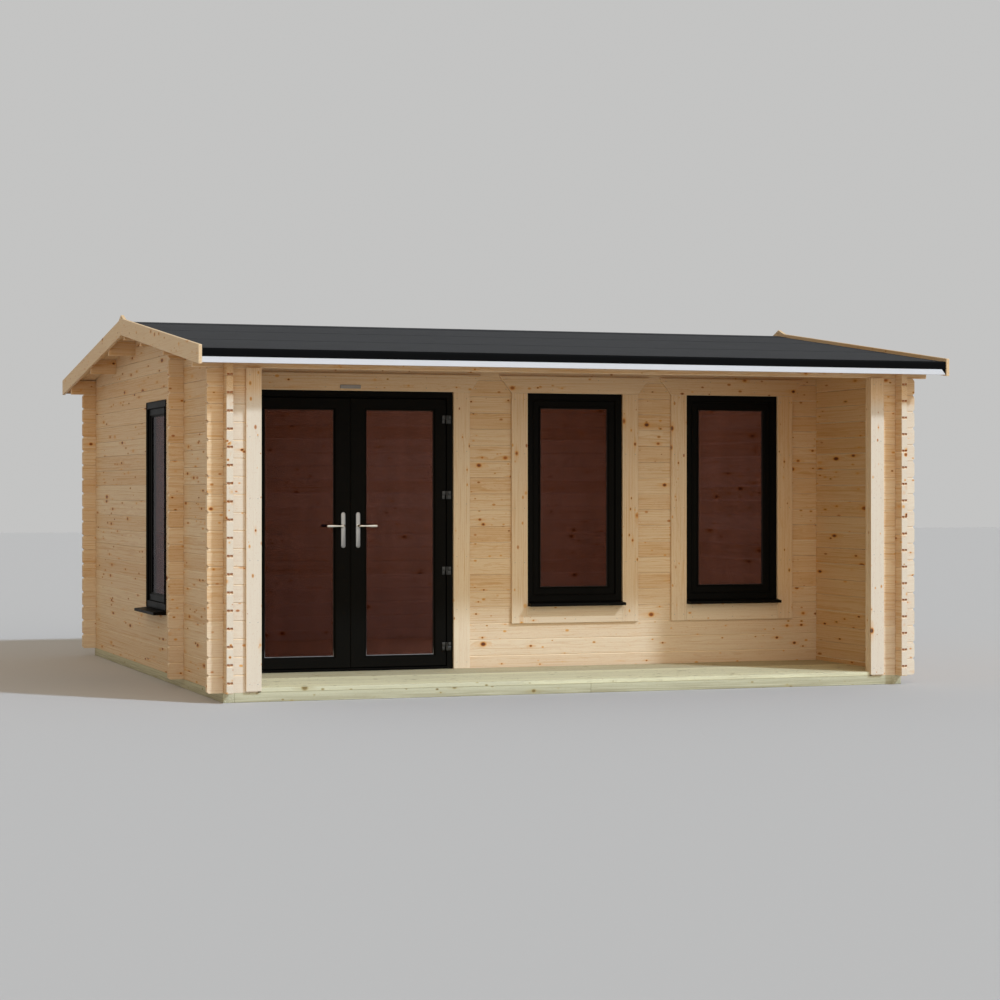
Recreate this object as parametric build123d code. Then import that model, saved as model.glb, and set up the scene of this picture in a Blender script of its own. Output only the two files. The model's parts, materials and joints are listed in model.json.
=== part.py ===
from build123d import *
import math
import os

# Log cabin with a veranda under the front slope of a low gable roof.
# Millimetres, +Z up, the front faces -Y, the ridge runs along X over the origin.

# Fits shared by the whole cabin
seat_gap = 0.3
cut_over = 5.0

# Machined logs
log_thick = 44.0
log_pitch = 114.0
log_gap = 0.4
log_chamfer = 5.0
starter_height = 62.0
end_side = 105.0
end_front = 92.0

# Plan, from outer log face to outer log face
cabin_width = 4774.0
cabin_depth = 4774.0
veranda_depth = 1227.0
corner_length = 222.0
eave_course = 18
front_courses = 21

# Timber base, floor and deck
base_height = 61.0
bearer_width = 70.0
joist_width = 45.0
joist_rows = 7
front_board_length = 2406.7
floor_thick = 28.0

# Roof
roof_pitch = 7.1
roof_board = 18.0
felt_thick = 4.0
verge_over = 196.0
eave_over = 252.0
fascia_thick = 18.0
fascia_drop = 62.0
felt_flap = 46.0
drip_thick = 4.0
drip_face = 32.0
drip_return = 20.0
drip_mitre = 30.0
barge_thick = 22.0
barge_height = 119.0
barge_stand = 24.0
barge_tail = 10.0
peak_height = 25.0
peak_width = 200.0
purlin_high = 632.0
purlin_low = 1430.0
purlin_drop = 105.0

# Openings in the log walls
door_width = 1490.0
head_height = 1966.0
window_width = 722.0
window_course = 4
side_window_course = 3
side_window_back = 599.0
unit_fit = 0.5

# Wall left over beside the doors and windows, shared out from left to right
pier_shares = (4.21, 5.52, 4.99, 3.68)

# Windows
window_depth = 70.0
window_proud = 6.0
window_face = 50.0
sash_face = 42.0
sash_depth = 52.0
sash_set_back = 10.0
pane_thick = 24.0
pane_bite = 10.0
sill_height = 28.0
sill_project = 92.0
sill_nose = 20.0

# Trim boards
trim_thick = 20.0
trim_width = 120.0
flare_share = 0.34
casing_width = 100.0
casing_lift = 8.0

# French doors
frame_depth = 77.0
frame_face = 45.0
stop_face = 65.0
stop_depth = 13.0
leaf_thick = 58.0
leaf_gap = 6.0
leaf_face = 100.0
hinge_stile_face = 75.0
rail_face = 67.0
hinge_radius = 8.0
hinge_clear = 1.0
hinge_half = 28.0
hinge_flag = 32.0
hinge_flag_thick = 5.0
hinge_first = 185.0
hinge_step = 529.5
hinge_count = 4

# Lever handles
plate_width = 34.0
plate_length = 250.0
plate_thick = 9.0
plate_drop = 154.0
handle_height = 1032.0
lever_reach = 50.0
lever_length = 128.0
lever_height = 20.0
lever_thick = 12.0
neck_radius = 9.0
spindle_radius = 5.0
spindle_clear = 0.5

# Places worked out from the sizes above
half_width = cabin_width / 2
half_depth = cabin_depth / 2
side_mid = half_width - log_thick / 2
end_mid = half_depth - log_thick / 2
front_face = -half_depth + veranda_depth
front_mid = front_face + log_thick / 2
roof_slope = math.tan(math.radians(roof_pitch))
eave_level = base_height + (eave_course + 1) * log_pitch
ridge_under = eave_level + half_depth * roof_slope
roof_end = half_depth + eave_over
verge_end = half_width + verge_over
floor_top = base_height + floor_thick
head_level = base_height + head_height
free_wall = cabin_width - door_width - 2 * window_width
piers = [free_wall * share / sum(pier_shares) for share in pier_shares]
door_left = -half_width + piers[0]
door_right = door_left + door_width
window_one = door_right + piers[1]
window_two = window_one + window_width + piers[2]
trim_flare = flare_share * (piers[2] - 2 * trim_width)
side_window_front = front_face + side_window_back
side_window_middle = side_window_front + window_width / 2
window_low = base_height + window_course * log_pitch
window_height = head_level - window_low
lowest = (Align.MIN, Align.MIN, Align.MIN)


def block(x0, x1, y0, y1, z0, z1):
    """A plain block between two corners."""
    return Pos(x0, y0, z0) * Box(x1 - x0, y1 - y0, z1 - z0, align=lowest)


def along_x(points, x0, x1):
    """An outline in (y, z) drawn out from x0 to x1."""
    face = Plane.YZ * Polygon(*points, align=None)
    return Pos(x0, 0, 0) * extrude(face, amount=x1 - x0, dir=(1, 0, 0))


def along_y(points, y0, y1):
    """An outline in (x, z) drawn out from y0 to y1."""
    face = Plane.XZ * Polygon(*points, align=None)
    return Pos(0, y0, 0) * extrude(face, amount=y1 - y0, dir=(0, 1, 0))


def log_outline(mid, low, high):
    """Section of a log whose two upper edges are chamfered, for a V joint with the next."""
    left = mid - log_thick / 2
    right = mid + log_thick / 2
    cut = log_chamfer
    return [
        (left, low),
        (right, low),
        (right, high - cut),
        (right - cut, high),
        (left + cut, high),
        (left, high - cut),
    ]


def roof_under(y):
    """Height of the roof boards' underside at a distance from the ridge."""
    return ridge_under - abs(y) * roof_slope


def under_roof(x0, x1):
    """The space below the roof boards, which trims the gables and the purlins."""
    far = roof_end
    points = [(-far, 0), (far, 0), (far, roof_under(far)), (0, ridge_under), (-far, roof_under(far))]
    return along_x(points, x0, x1)


def solids_of(shape):
    """The separate solids of a cut piece."""
    return list(shape.solids())


def course_low(course):
    """Underside of a log that lies along X."""
    return base_height + course * log_pitch


def side_low(course):
    """Underside of a log that lies along Y, half a log out of step."""
    if course == 0:
        return base_height
    return base_height + starter_height + (course - 1) * log_pitch


def cross_log(course, mid, x0, x1):
    """A log along X, saddled over the side walls that it crosses."""
    low = course_low(course)
    log = along_x(log_outline(mid, low, low + log_pitch - log_gap), x0, x1)
    saddles = []
    for wall in (-side_mid, side_mid):
        if x0 < wall < x1:
            near = wall - log_thick / 2 - log_gap
            far = wall + log_thick / 2 + log_gap
            saddles.append(block(near, far, mid - log_thick, mid + log_thick, low - cut_over, low + starter_height))
    if saddles:
        log = log - saddles
    return log


def side_log(course, high, mid, y0, y1, crossings):
    """A log along Y, saddled over the cross walls that it meets."""
    low = side_low(course)
    log = along_y(log_outline(mid, low, high), y0, y1)
    saddles = []
    for wall, last_course in crossings:
        if course > 0 and course - 1 <= last_course and y0 < wall < y1:
            near = wall - log_thick / 2 - log_gap
            far = wall + log_thick / 2 + log_gap
            top = course_low(course)
            saddles.append(block(mid - log_thick, mid + log_thick, near, far, low - cut_over, top))
    if saddles:
        log = log - saddles
    return log


def purlin_places():
    """Middle and underside of each purlin, from the front to the rear."""
    places = []
    for mid in (-purlin_low, -purlin_high, 0, purlin_high, purlin_low):
        outer_face = abs(mid) + log_thick / 2
        places.append((mid, roof_under(outer_face) - purlin_drop))
    return places


def make_purlins():
    """Roof purlins, housed in the gables and trimmed to the roof's slope."""
    space = under_roof(-verge_end, verge_end)
    reach = verge_end - seat_gap
    logs = []
    for mid, low in purlin_places():
        log = along_x(log_outline(mid, low, low + log_pitch), -reach, reach)
        logs += solids_of(log & space)
    return logs


def make_side_wall(mid, openings):
    """One long wall with its gable, from the veranda's front corner to the rear corner."""
    crossings = [(-end_mid, eave_course), (front_mid, front_courses - 2), (end_mid, eave_course)]
    space = under_roof(mid - log_thick, mid + log_thick)
    slots = []
    for y, low in purlin_places():
        near = y - log_thick / 2 - log_gap
        far = y + log_thick / 2 + log_gap
        slots.append(block(mid - log_thick, mid + log_thick, near, far, low - log_gap, ridge_under + cut_over))
    slot_level = min(low for y, low in purlin_places()) - log_gap
    inner = half_depth - log_thick - log_gap
    outer = half_depth + end_front
    logs = []
    course = 0
    while side_low(course) + log_thick < ridge_under:
        high = side_low(course + 1) - log_gap
        if side_low(course + 1) <= eave_level:
            log = side_log(course, high, mid, -outer, outer, crossings)
        else:
            if side_low(course + 1) + log_thick >= ridge_under:
                high = ridge_under + log_thick
            log = side_log(course, high, mid, -inner, inner, crossings) & space
        if high > slot_level:
            log = log - slots
        for y0, y1, z0, z1 in openings:
            if side_low(course) < z1 and side_low(course + 1) > z0:
                log = log - block(mid - log_thick, mid + log_thick, y0, y1, z0, z1)
        logs += solids_of(log)
        course += 1
    return logs


def make_front_wall():
    """The recessed front wall, in its parts beside and over the doors."""
    outer = half_width + end_side
    inner = half_width - log_thick - log_gap
    space = under_roof(-outer, outer)
    cut_y0 = front_face - cut_over
    cut_y1 = front_face + log_thick + cut_over
    holes = [block(door_left, door_right, cut_y0, cut_y1, 0, head_level)]
    for x in (window_one, window_two):
        holes.append(block(x, x + window_width, cut_y0, cut_y1, window_low, head_level))
    left = []
    right = []
    over = []
    for course in range(front_courses):
        high = course_low(course + 1)
        if high <= head_level:
            left += solids_of(cross_log(course, front_mid, -outer, door_left))
            right += solids_of(cross_log(course, front_mid, door_right, outer) - holes[1:])
        elif high <= roof_under(front_face):
            over += solids_of(cross_log(course, front_mid, -outer, outer) - holes)
        else:
            over += solids_of(cross_log(course, front_mid, -inner, inner) & space)
    return left, right, over


def make_rear_wall():
    """The plain rear wall, whose top log carries the eave."""
    outer = half_width + end_side
    logs = [cross_log(course, end_mid, -outer, outer) for course in range(eave_course)]
    logs += make_eave_log(end_mid)
    return logs


def make_eave_log(mid):
    """A long log at the eave that reaches out to both bargeboards."""
    reach = verge_end - seat_gap
    log = cross_log(eave_course, mid, -reach, reach) & under_roof(-verge_end, verge_end)
    return solids_of(log)


def make_front_corner(side):
    """Short logs that return across the veranda's front corner."""
    outer = half_width + end_side
    inner = half_width - corner_length
    logs = []
    for course in range(eave_course):
        x0, x1 = sorted((side * outer, side * inner))
        logs.append(cross_log(course, -end_mid, x0, x1))
    return logs


def make_corner_casing(side):
    """Three boards that case the inner end of the short logs."""
    inner = half_width - corner_length
    front = -half_depth
    back = front + log_thick
    low = base_height + casing_lift
    high = eave_level - log_pitch - seat_gap
    edge = inner - seat_gap
    boards = []
    spans = [
        (edge - trim_thick, edge - trim_thick + casing_width, front - seat_gap - trim_thick, front - seat_gap),
        (edge - trim_thick, edge, front, back),
        (edge - trim_thick, edge - trim_thick + casing_width, back + seat_gap, back + seat_gap + trim_thick),
    ]
    for x0, x1, y0, y1 in spans:
        near, far = sorted((side * x0, side * x1))
        boards.append(block(near, far, y0, y1, low, high))
    return boards


def make_base():
    """Treated bearers under the side walls, with joists between them."""
    high = base_height - seat_gap
    inner = half_width - bearer_width
    pieces = []
    for side in (-1, 1):
        x0, x1 = sorted((side * half_width, side * inner))
        pieces.append(block(x0, x1, -half_depth, half_depth, 0, high))
    reach = inner - seat_gap
    joint = front_board_length - reach
    front = -half_depth
    pieces.append(block(-reach, joint - seat_gap, front, front + joist_width, 0, high))
    pieces.append(block(joint, reach, front, front + joist_width, 0, high))
    pieces.append(block(-reach, reach, half_depth - joist_width, half_depth, 0, high))
    pieces.append(block(-reach, reach, front_mid - bearer_width / 2, front_mid + bearer_width / 2, 0, high))
    first = front_mid
    step = (half_depth - joist_width / 2 - first) / (joist_rows - 1)
    for row in range(1, joist_rows - 1):
        mid = first + row * step
        pieces.append(block(-reach, reach, mid - joist_width / 2, mid + joist_width / 2, 0, high))
    mid = (front + front_face) / 2
    pieces.append(block(-reach, reach, mid - joist_width / 2, mid + joist_width / 2, 0, high))
    return pieces


def make_deck():
    """Veranda deck, cut round the cased corners."""
    reach = half_width - log_thick - seat_gap
    deck = block(-reach, reach, -half_depth, front_face - seat_gap, base_height, floor_top)
    clear = half_width - corner_length - trim_thick - 2 * seat_gap
    back = -half_depth + log_thick + trim_thick + 2 * seat_gap
    cuts = []
    for side in (-1, 1):
        x0, x1 = sorted((side * clear, side * half_width))
        cuts.append(block(x0, x1, -half_depth - cut_over, back, 0, floor_top + cut_over))
    step = front_face - window_proud - seat_gap
    cuts.append(block(door_left, door_right, step, front_face, 0, floor_top + cut_over))
    return deck - cuts


def make_floor():
    """Floor of the room inside the log walls."""
    reach = half_width - log_thick - seat_gap
    y0 = front_face + frame_depth
    y1 = half_depth - log_thick - seat_gap
    return block(-reach, reach, y0, y1, base_height, floor_top)


def slope_slab(side, low, high, y0, y1, x0, x1):
    """A slab on one roof slope between two heights above the boards' underside."""
    points = [
        (side * y0, roof_under(y0) + low),
        (side * y1, roof_under(y1) + low),
        (side * y1, roof_under(y1) + high),
        (side * y0, roof_under(y0) + high),
    ]
    return along_x(points, x0, x1)


def make_roof_boards(side):
    """Boarding of one roof slope."""
    high = seat_gap + roof_board / math.cos(math.radians(roof_pitch))
    return slope_slab(side, seat_gap, high, seat_gap, roof_end - seat_gap, -verge_end, verge_end)


def felt_low():
    """Underside of the felt, above the boards' underside."""
    return 2 * seat_gap + roof_board / math.cos(math.radians(roof_pitch))


def make_felt(side):
    """Felt on one slope, turned down over the fascia."""
    low = felt_low()
    face = roof_end + fascia_thick + seat_gap
    edge = face + felt_thick
    points = [
        (side * seat_gap, roof_under(0) + low),
        (side * face, roof_under(face) + low),
        (side * face, roof_under(face) + low - felt_flap),
        (side * edge, roof_under(face) + low - felt_flap),
        (side * edge, roof_under(edge) + low),
        (side * face, roof_under(face) + low + felt_thick),
        (side * seat_gap, roof_under(0) + low + felt_thick),
    ]
    return along_x(points, -verge_end, verge_end)


def fascia_level():
    """Underside of the fascia."""
    return roof_under(roof_end) - fascia_drop


def make_fascia(side):
    """Fascia board across the ends of the roof boards."""
    face = roof_end + fascia_thick
    high = felt_low() - seat_gap
    points = [
        (side * roof_end, fascia_level()),
        (side * face, fascia_level()),
        (side * face, roof_under(face) + high),
        (side * roof_end, roof_under(roof_end) + high),
    ]
    return along_x(points, -verge_end, verge_end)


def make_drip_trim(side):
    """White drip trim below the felt, with its ends cut on the slant."""
    face = roof_end + fascia_thick + seat_gap
    edge = face + drip_thick
    low = fascia_level() - seat_gap
    high = low + drip_face
    back = face - drip_return
    points = [
        (side * face, high),
        (side * edge, high),
        (side * edge, low - drip_thick),
        (side * back, low - drip_thick),
        (side * back, low),
        (side * face, low),
    ]
    trim = along_x(points, -verge_end, verge_end)
    cuts = []
    for end in (-1, 1):
        corner = [
            (end * (verge_end - drip_mitre), high + seat_gap),
            (end * (verge_end + cut_over), high + seat_gap),
            (end * (verge_end + cut_over), low - drip_thick),
            (end * verge_end, low - drip_thick),
        ]
        y0, y1 = sorted((side * (face - seat_gap / 2), side * (edge + cut_over)))
        cuts.append(along_y(corner, y0, y1))
    return trim - cuts


def barge_top():
    """Top edge of the bargeboards, above the boards' underside."""
    return felt_low() + felt_thick + barge_stand


def make_bargeboard(side_x, side_y):
    """One bargeboard, from the ridge down to the eave."""
    inner = verge_end + seat_gap
    x0, x1 = sorted((side_x * inner, side_x * (inner + barge_thick)))
    tail = roof_end + fascia_thick + felt_thick + barge_tail
    return slope_slab(side_y, barge_top() - barge_height, barge_top(), seat_gap, tail, x0, x1)


def make_peak(side_x):
    """Pointed block on the ridge end of a pair of bargeboards."""
    inner = verge_end + seat_gap
    x0, x1 = sorted((side_x * inner, side_x * (inner + barge_thick)))
    reach = peak_width / 2
    lift = barge_top() + seat_gap
    points = [
        (-reach, roof_under(reach) + lift),
        (0, ridge_under + lift),
        (reach, roof_under(reach) + lift),
        (0, ridge_under + lift + peak_height),
    ]
    return along_x(points, x0, x1)


def ring(x0, x1, z0, z1, face, y0, y1):
    """A frame of one face width round an opening in the front wall."""
    outer = block(x0, x1, y0, y1, z0, z1)
    return outer - block(x0 + face, x1 - face, y0 - cut_over, y1 + cut_over, z0 + face, z1 - face)


def make_window(x0, low):
    """Frame, sash, pane and sill of one window in the front wall."""
    left = x0 + unit_fit
    right = x0 + window_width - unit_fit
    front = front_face - window_proud
    foot = low + sill_height + seat_gap
    head = low + window_height - unit_fit
    frame = ring(left, right, foot, head, window_face, front, front + window_depth)
    gap = seat_gap + window_face
    sash_front = front + sash_set_back
    sash_box = (left + gap, right - gap, foot + gap, head - gap)
    sash = ring(*sash_box, sash_face, sash_front, sash_front + sash_depth)
    inset = sash_face - pane_bite
    pane_mid = sash_front + sash_depth / 2
    y0 = pane_mid - pane_thick / 2
    y1 = pane_mid + pane_thick / 2
    pane_box = (left + gap + inset, right - gap - inset, y0, y1, foot + gap + inset, head - gap - inset)
    pane = block(*pane_box)
    room = seat_gap
    x2, x3, y2, y3, z2, z3 = pane_box
    sash = sash - block(x2 - room, x3 + room, y2 - room, y3 + room, z2 - room, z3 + room)
    nose = front_face - sill_project
    sill_points = [
        (front + window_depth, low + seat_gap),
        (nose, low + seat_gap),
        (nose, low + sill_nose),
        (front, low + sill_height),
        (front + window_depth, low + sill_height),
    ]
    sill = along_x(sill_points, left, right)
    return frame, sash, pane, sill


def turn_to_left_wall(piece, centre):
    """Carry a window from the front wall to the left wall."""
    shift = Pos(-(window_one + window_width / 2), -front_face, 0)
    return Pos(-half_width, centre, 0) * Rot(0, 0, -90) * shift * piece


def make_architrave(x0, x1, low, with_foot):
    """Boards round an opening: two uprights, a flared head and a foot below the sill."""
    back = front_face - seat_gap
    front = back - trim_thick
    left = x0 - seat_gap
    right = x1 + seat_gap
    head = head_level + seat_gap
    boards = []
    foot = floor_top + seat_gap
    if with_foot:
        foot = low - trim_width
        boards.append(block(left, right, front, back, foot, low - seat_gap))
    boards.append(block(left - seat_gap - trim_width, left - seat_gap, front, back, foot, head - seat_gap))
    boards.append(block(right + seat_gap, right + seat_gap + trim_width, front, back, foot, head - seat_gap))
    reach_left = left - seat_gap - trim_width
    reach_right = right + seat_gap + trim_width
    points = [
        (reach_left, head),
        (reach_right, head),
        (reach_right + trim_flare, head + trim_width),
        (reach_left - trim_flare, head + trim_width),
    ]
    boards.append(along_y(points, front, back))
    return boards


door_front = front_face - window_proud
frame_left = door_left + unit_fit
frame_right = door_right - unit_fit
frame_low = base_height + seat_gap
frame_high = head_level - unit_fit
leaf_low = frame_low + frame_face + leaf_gap
leaf_high = frame_high - frame_face - leaf_gap
leaf_width = (frame_right - frame_left - 2 * frame_face - 3 * leaf_gap) / 2
hinge_out = frame_face + leaf_gap / 2
hinge_y = door_front - hinge_radius - hinge_clear
left_axis = frame_left + hinge_out
right_axis = frame_right - hinge_out
handle_level = base_height + handle_height


def make_door_frame():
    """Door frame with the stop that the leaves close against."""
    back = door_front + frame_depth
    outer = ring(frame_left, frame_right, frame_low, frame_high, frame_face, door_front, back)
    stop = ring(frame_left, frame_right, frame_low, frame_high, stop_face, back - stop_depth, back)
    return outer + stop


def make_leaf(side):
    """One leaf with its pane; side is -1 for the left leaf."""
    hinge_edge = left_axis + leaf_gap / 2 if side < 0 else right_axis - leaf_gap / 2
    meeting_edge = hinge_edge - side * leaf_width
    x0, x1 = sorted((hinge_edge, meeting_edge))
    left, right = sorted((hinge_edge - side * hinge_stile_face, meeting_edge + side * leaf_face))
    foot = leaf_low + rail_face
    head = leaf_high - rail_face
    back = door_front + leaf_thick
    leaf = block(x0, x1, door_front, back, leaf_low, leaf_high)
    leaf = leaf - block(left, right, door_front - cut_over, back + cut_over, foot, head)
    pane_mid = door_front + leaf_thick / 2
    box = (
        left - pane_bite,
        right + pane_bite,
        pane_mid - pane_thick / 2,
        pane_mid + pane_thick / 2,
        foot - pane_bite,
        head + pane_bite,
    )
    pane = block(*box)
    room = seat_gap
    x2, x3, y2, y3, z2, z3 = box
    leaf = leaf - block(x2 - room, x3 + room, y2 - room, y3 + room, z2 - room, z3 + room)
    bore = Cylinder(spindle_radius + spindle_clear, leaf_thick + 2 * cut_over)
    leaf = leaf - Pos(handle_x(side), pane_mid, handle_level) * Rot(90, 0, 0) * bore
    return leaf, pane


def handle_x(side):
    """Place of a handle in the middle of its leaf's meeting stile."""
    hinge_edge = left_axis + leaf_gap / 2 if side < 0 else right_axis - leaf_gap / 2
    return hinge_edge - side * (leaf_width - leaf_face / 2)


def make_plates(side):
    """Long rounded backplates on both faces of a leaf."""
    slot = SlotOverall(plate_length, plate_width, rotation=90)
    middle = handle_level - plate_drop + plate_length / 2
    plates = []
    outer = door_front - seat_gap
    inner = door_front + leaf_thick + seat_gap + plate_thick
    bore = Cylinder(spindle_radius + spindle_clear, leaf_thick + 2 * lever_reach)
    for face in (outer, inner):
        sketch = Plane.XZ * slot
        plate = extrude(sketch, amount=plate_thick)
        plate = Pos(handle_x(side), face, middle) * plate
        plates.append(plate - Pos(handle_x(side), door_front, handle_level) * Rot(90, 0, 0) * bore)
    return plates


def make_lever(side):
    """Spindle with a lever on each face, pointing away from the meeting stiles."""
    outer = door_front - seat_gap - plate_thick - lever_reach
    inner = door_front + leaf_thick + seat_gap + plate_thick + lever_reach
    mid = (outer + inner) / 2
    x = handle_x(side)
    lever = Pos(x, mid, handle_level) * Rot(90, 0, 0) * Cylinder(spindle_radius, inner - outer)
    neck_long = lever_reach - seat_gap
    for face, way in ((outer, 1), (inner, -1)):
        neck = Cylinder(neck_radius, neck_long)
        lever += Pos(x, face + way * neck_long / 2, handle_level) * Rot(90, 0, 0) * neck
        x0, x1 = sorted((x - side * neck_radius, x + side * lever_length))
        y0, y1 = sorted((face, face + way * lever_thick))
        half = lever_height / 2
        lever += block(x0, x1, y0, y1, handle_level - half, handle_level + half)
    return lever


def make_hinges(side):
    """Flag hinges of one leaf: the halves on the frame and the halves on the leaf."""
    axis = left_axis if side < 0 else right_axis
    frame_halves = []
    leaf_halves = []
    back = door_front - seat_gap
    for step in range(hinge_count):
        middle = base_height + hinge_first + step * hinge_step
        for halves, low, way in ((frame_halves, middle - hinge_half, side), (leaf_halves, middle + log_gap, -side)):
            barrel = Pos(axis, hinge_y, low + hinge_half / 2) * Cylinder(hinge_radius, hinge_half)
            x0, x1 = sorted((axis, axis + way * hinge_flag))
            flag = block(x0, x1, back - hinge_flag_thick, back, low, low + hinge_half)
            halves.append(barrel + flag)
    return frame_halves, leaf_halves


def build():
    """All pieces of the cabin by name."""
    nodes = {}
    nodes["base_frame"] = make_base()
    nodes["veranda_deck"] = [make_deck()]
    nodes["room_floor"] = [make_floor()]

    side_low_edge = side_low(side_window_course + 1)
    side_window_rear = side_window_front + window_width
    side_hole = (side_window_front, side_window_rear, side_low_edge, side_low_edge + window_height)
    nodes["left_wall"] = make_side_wall(-side_mid, [side_hole])
    nodes["right_wall"] = make_side_wall(side_mid, [])
    nodes["rear_wall"] = make_rear_wall()
    left, right, over = make_front_wall()
    nodes["front_wall_left"] = left
    nodes["front_wall_right"] = right
    nodes["front_wall_over_door"] = over
    nodes["front_corner_left"] = make_front_corner(-1)
    nodes["front_corner_right"] = make_front_corner(1)
    nodes["front_eave_log"] = make_eave_log(-end_mid)
    nodes["corner_casing_left"] = make_corner_casing(-1)
    nodes["corner_casing_right"] = make_corner_casing(1)

    nodes["roof_purlins"] = make_purlins()
    for name, side in (("front", -1), ("rear", 1)):
        nodes["roof_boards_" + name] = [make_roof_boards(side)]
        nodes["roof_felt_" + name] = [make_felt(side)]
    nodes["eave_fascias"] = [make_fascia(-1), make_fascia(1)]
    nodes["drip_trims"] = [make_drip_trim(-1), make_drip_trim(1)]
    for name_x, side_x in (("left", -1), ("right", 1)):
        for name_y, side_y in (("front", -1), ("rear", 1)):
            nodes["bargeboard_" + name_x + "_" + name_y] = [make_bargeboard(side_x, side_y)]
    nodes["ridge_peaks"] = [make_peak(-1), make_peak(1)]

    units = [make_window(window_one, window_low), make_window(window_two, window_low)]
    side_unit = make_window(window_one, side_low_edge)
    units.append([turn_to_left_wall(piece, side_window_middle) for piece in side_unit])
    frames, sashes, panes, sills = zip(*units)
    nodes["window_frames"] = frames
    nodes["window_sashes"] = sashes
    nodes["window_panes"] = panes
    nodes["window_sills"] = sills
    for name, x in (("middle", window_one), ("right", window_two)):
        nodes["window_trim_" + name] = make_architrave(x, x + window_width, window_low, True)
    nodes["door_trim"] = make_architrave(door_left, door_right, floor_top, False)

    nodes["door_frame"] = [make_door_frame()]
    frame_hinges = []
    for name, side in (("left", -1), ("right", 1)):
        leaf, pane = make_leaf(side)
        nodes[name + "_door"] = [leaf]
        nodes[name + "_door_pane"] = [pane]
        nodes[name + "_handle_plates"] = make_plates(side)
        nodes[name + "_lever"] = [make_lever(side)]
        frame_halves, leaf_halves = make_hinges(side)
        frame_hinges += frame_halves
        nodes[name + "_door_hinges"] = leaf_halves
    nodes["frame_hinges"] = frame_hinges
    return nodes


os.makedirs("parts", exist_ok=True)
for name, pieces in build().items():
    solids = [solid for piece in pieces for solid in piece.solids()]
    export_step(Compound(children=solids) if len(solids) > 1 else solids[0], "parts/" + name + ".step")
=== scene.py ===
import json
import math
import random
import bmesh
import bpy
from mathutils import Matrix, Vector


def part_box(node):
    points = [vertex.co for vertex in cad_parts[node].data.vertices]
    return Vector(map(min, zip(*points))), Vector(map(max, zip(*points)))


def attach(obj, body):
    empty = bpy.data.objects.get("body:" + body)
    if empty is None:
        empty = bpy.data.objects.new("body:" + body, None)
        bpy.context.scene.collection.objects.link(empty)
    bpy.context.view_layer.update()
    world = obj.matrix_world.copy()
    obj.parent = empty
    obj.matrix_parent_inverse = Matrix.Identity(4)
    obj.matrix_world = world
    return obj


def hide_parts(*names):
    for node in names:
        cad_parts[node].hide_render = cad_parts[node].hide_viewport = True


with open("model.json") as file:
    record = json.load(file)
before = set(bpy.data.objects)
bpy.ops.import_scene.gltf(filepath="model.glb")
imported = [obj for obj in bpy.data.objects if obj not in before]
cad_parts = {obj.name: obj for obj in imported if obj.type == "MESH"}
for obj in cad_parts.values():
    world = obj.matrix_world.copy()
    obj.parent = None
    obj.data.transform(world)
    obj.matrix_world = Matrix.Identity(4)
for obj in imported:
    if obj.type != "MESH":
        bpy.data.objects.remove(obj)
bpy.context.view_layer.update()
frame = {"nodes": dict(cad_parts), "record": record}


# Base frame: bearers under the side walls, joists between them and a front board in two lengths.
# Sawn softwood, pressure treated, which leaves it a pale grey-green with olive knots.
# It lies flat on the ground and its edges are only just taken off.
weld_distance = 0.00001
shortest_edge = 0.006
sawn_arris = 0.0025
sharp_angle = math.radians(20)
smooth_angle = math.radians(35)
trunk_run = 60
pith_reach = (0.03, 0.12)
treated_pale = (0.60, 0.57, 0.385, 1.0)
treated_dark = (0.43, 0.395, 0.245, 1.0)
# Painted light: the paler colour of lit front faces.
treated_painted_lit = (0.58, 0.555, 0.385, 1.0)
treated_resin = (0.40, 0.32, 0.14, 1.0)
treated_knot = (0.27, 0.19, 0.07, 1.0)
treated_core = (0.13, 0.09, 0.03, 1.0)
# Painted shade: a darker colour laid on the rounded edges.
treated_edge_shade = (0.36, 0.33, 0.20, 1.0)


def node_shape(*nodes):
    """The solids of CAD nodes as one editable mesh of whole faces."""
    shape = bmesh.new()
    for node in nodes:
        shape.from_mesh(frame["nodes"][node].data)
    bmesh.ops.remove_doubles(shape, verts=shape.verts, dist=weld_distance)
    bmesh.ops.dissolve_limit(shape, angle_limit=math.radians(1), verts=shape.verts, edges=shape.edges)
    return shape


def ease_edges(shape, width, segments=2, shortest=shortest_edge):
    """Rounds the outer edges a little and marks the rounded faces as arrises."""
    arris = shape.faces.layers.float.get("arris") or shape.faces.layers.float.new("arris")
    sharp = []
    for edge in shape.edges:
        if edge.is_manifold and edge.is_convex and edge.calc_length() > shortest:
            if edge.calc_face_angle() > sharp_angle:
                sharp.append(edge)
    made = bmesh.ops.bevel(
        shape, geom=sharp, offset=width, offset_type="OFFSET", segments=segments,
        profile=0.5, affect="EDGES", clamp_overlap=False,
    )
    for face in made["faces"]:
        face[arris] = 1.0


def separate_solids(shape):
    """Lists of the vertices of each separate solid in a mesh."""
    seen = set()
    solids = []
    for first in shape.verts:
        if first in seen:
            continue
        seen.add(first)
        solid = [first]
        for vert in solid:
            for edge in vert.link_edges:
                other = edge.other_vert(vert)
                if other not in seen:
                    seen.add(other)
                    solid.append(other)
        solids.append(solid)
    return solids


def corners_of(verts):
    """Lowest and highest corner round some vertices."""
    low = Vector([min(vert.co[axis] for vert in verts) for axis in range(3)])
    high = Vector([max(vert.co[axis] for vert in verts) for axis in range(3)])
    return low, high


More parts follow.
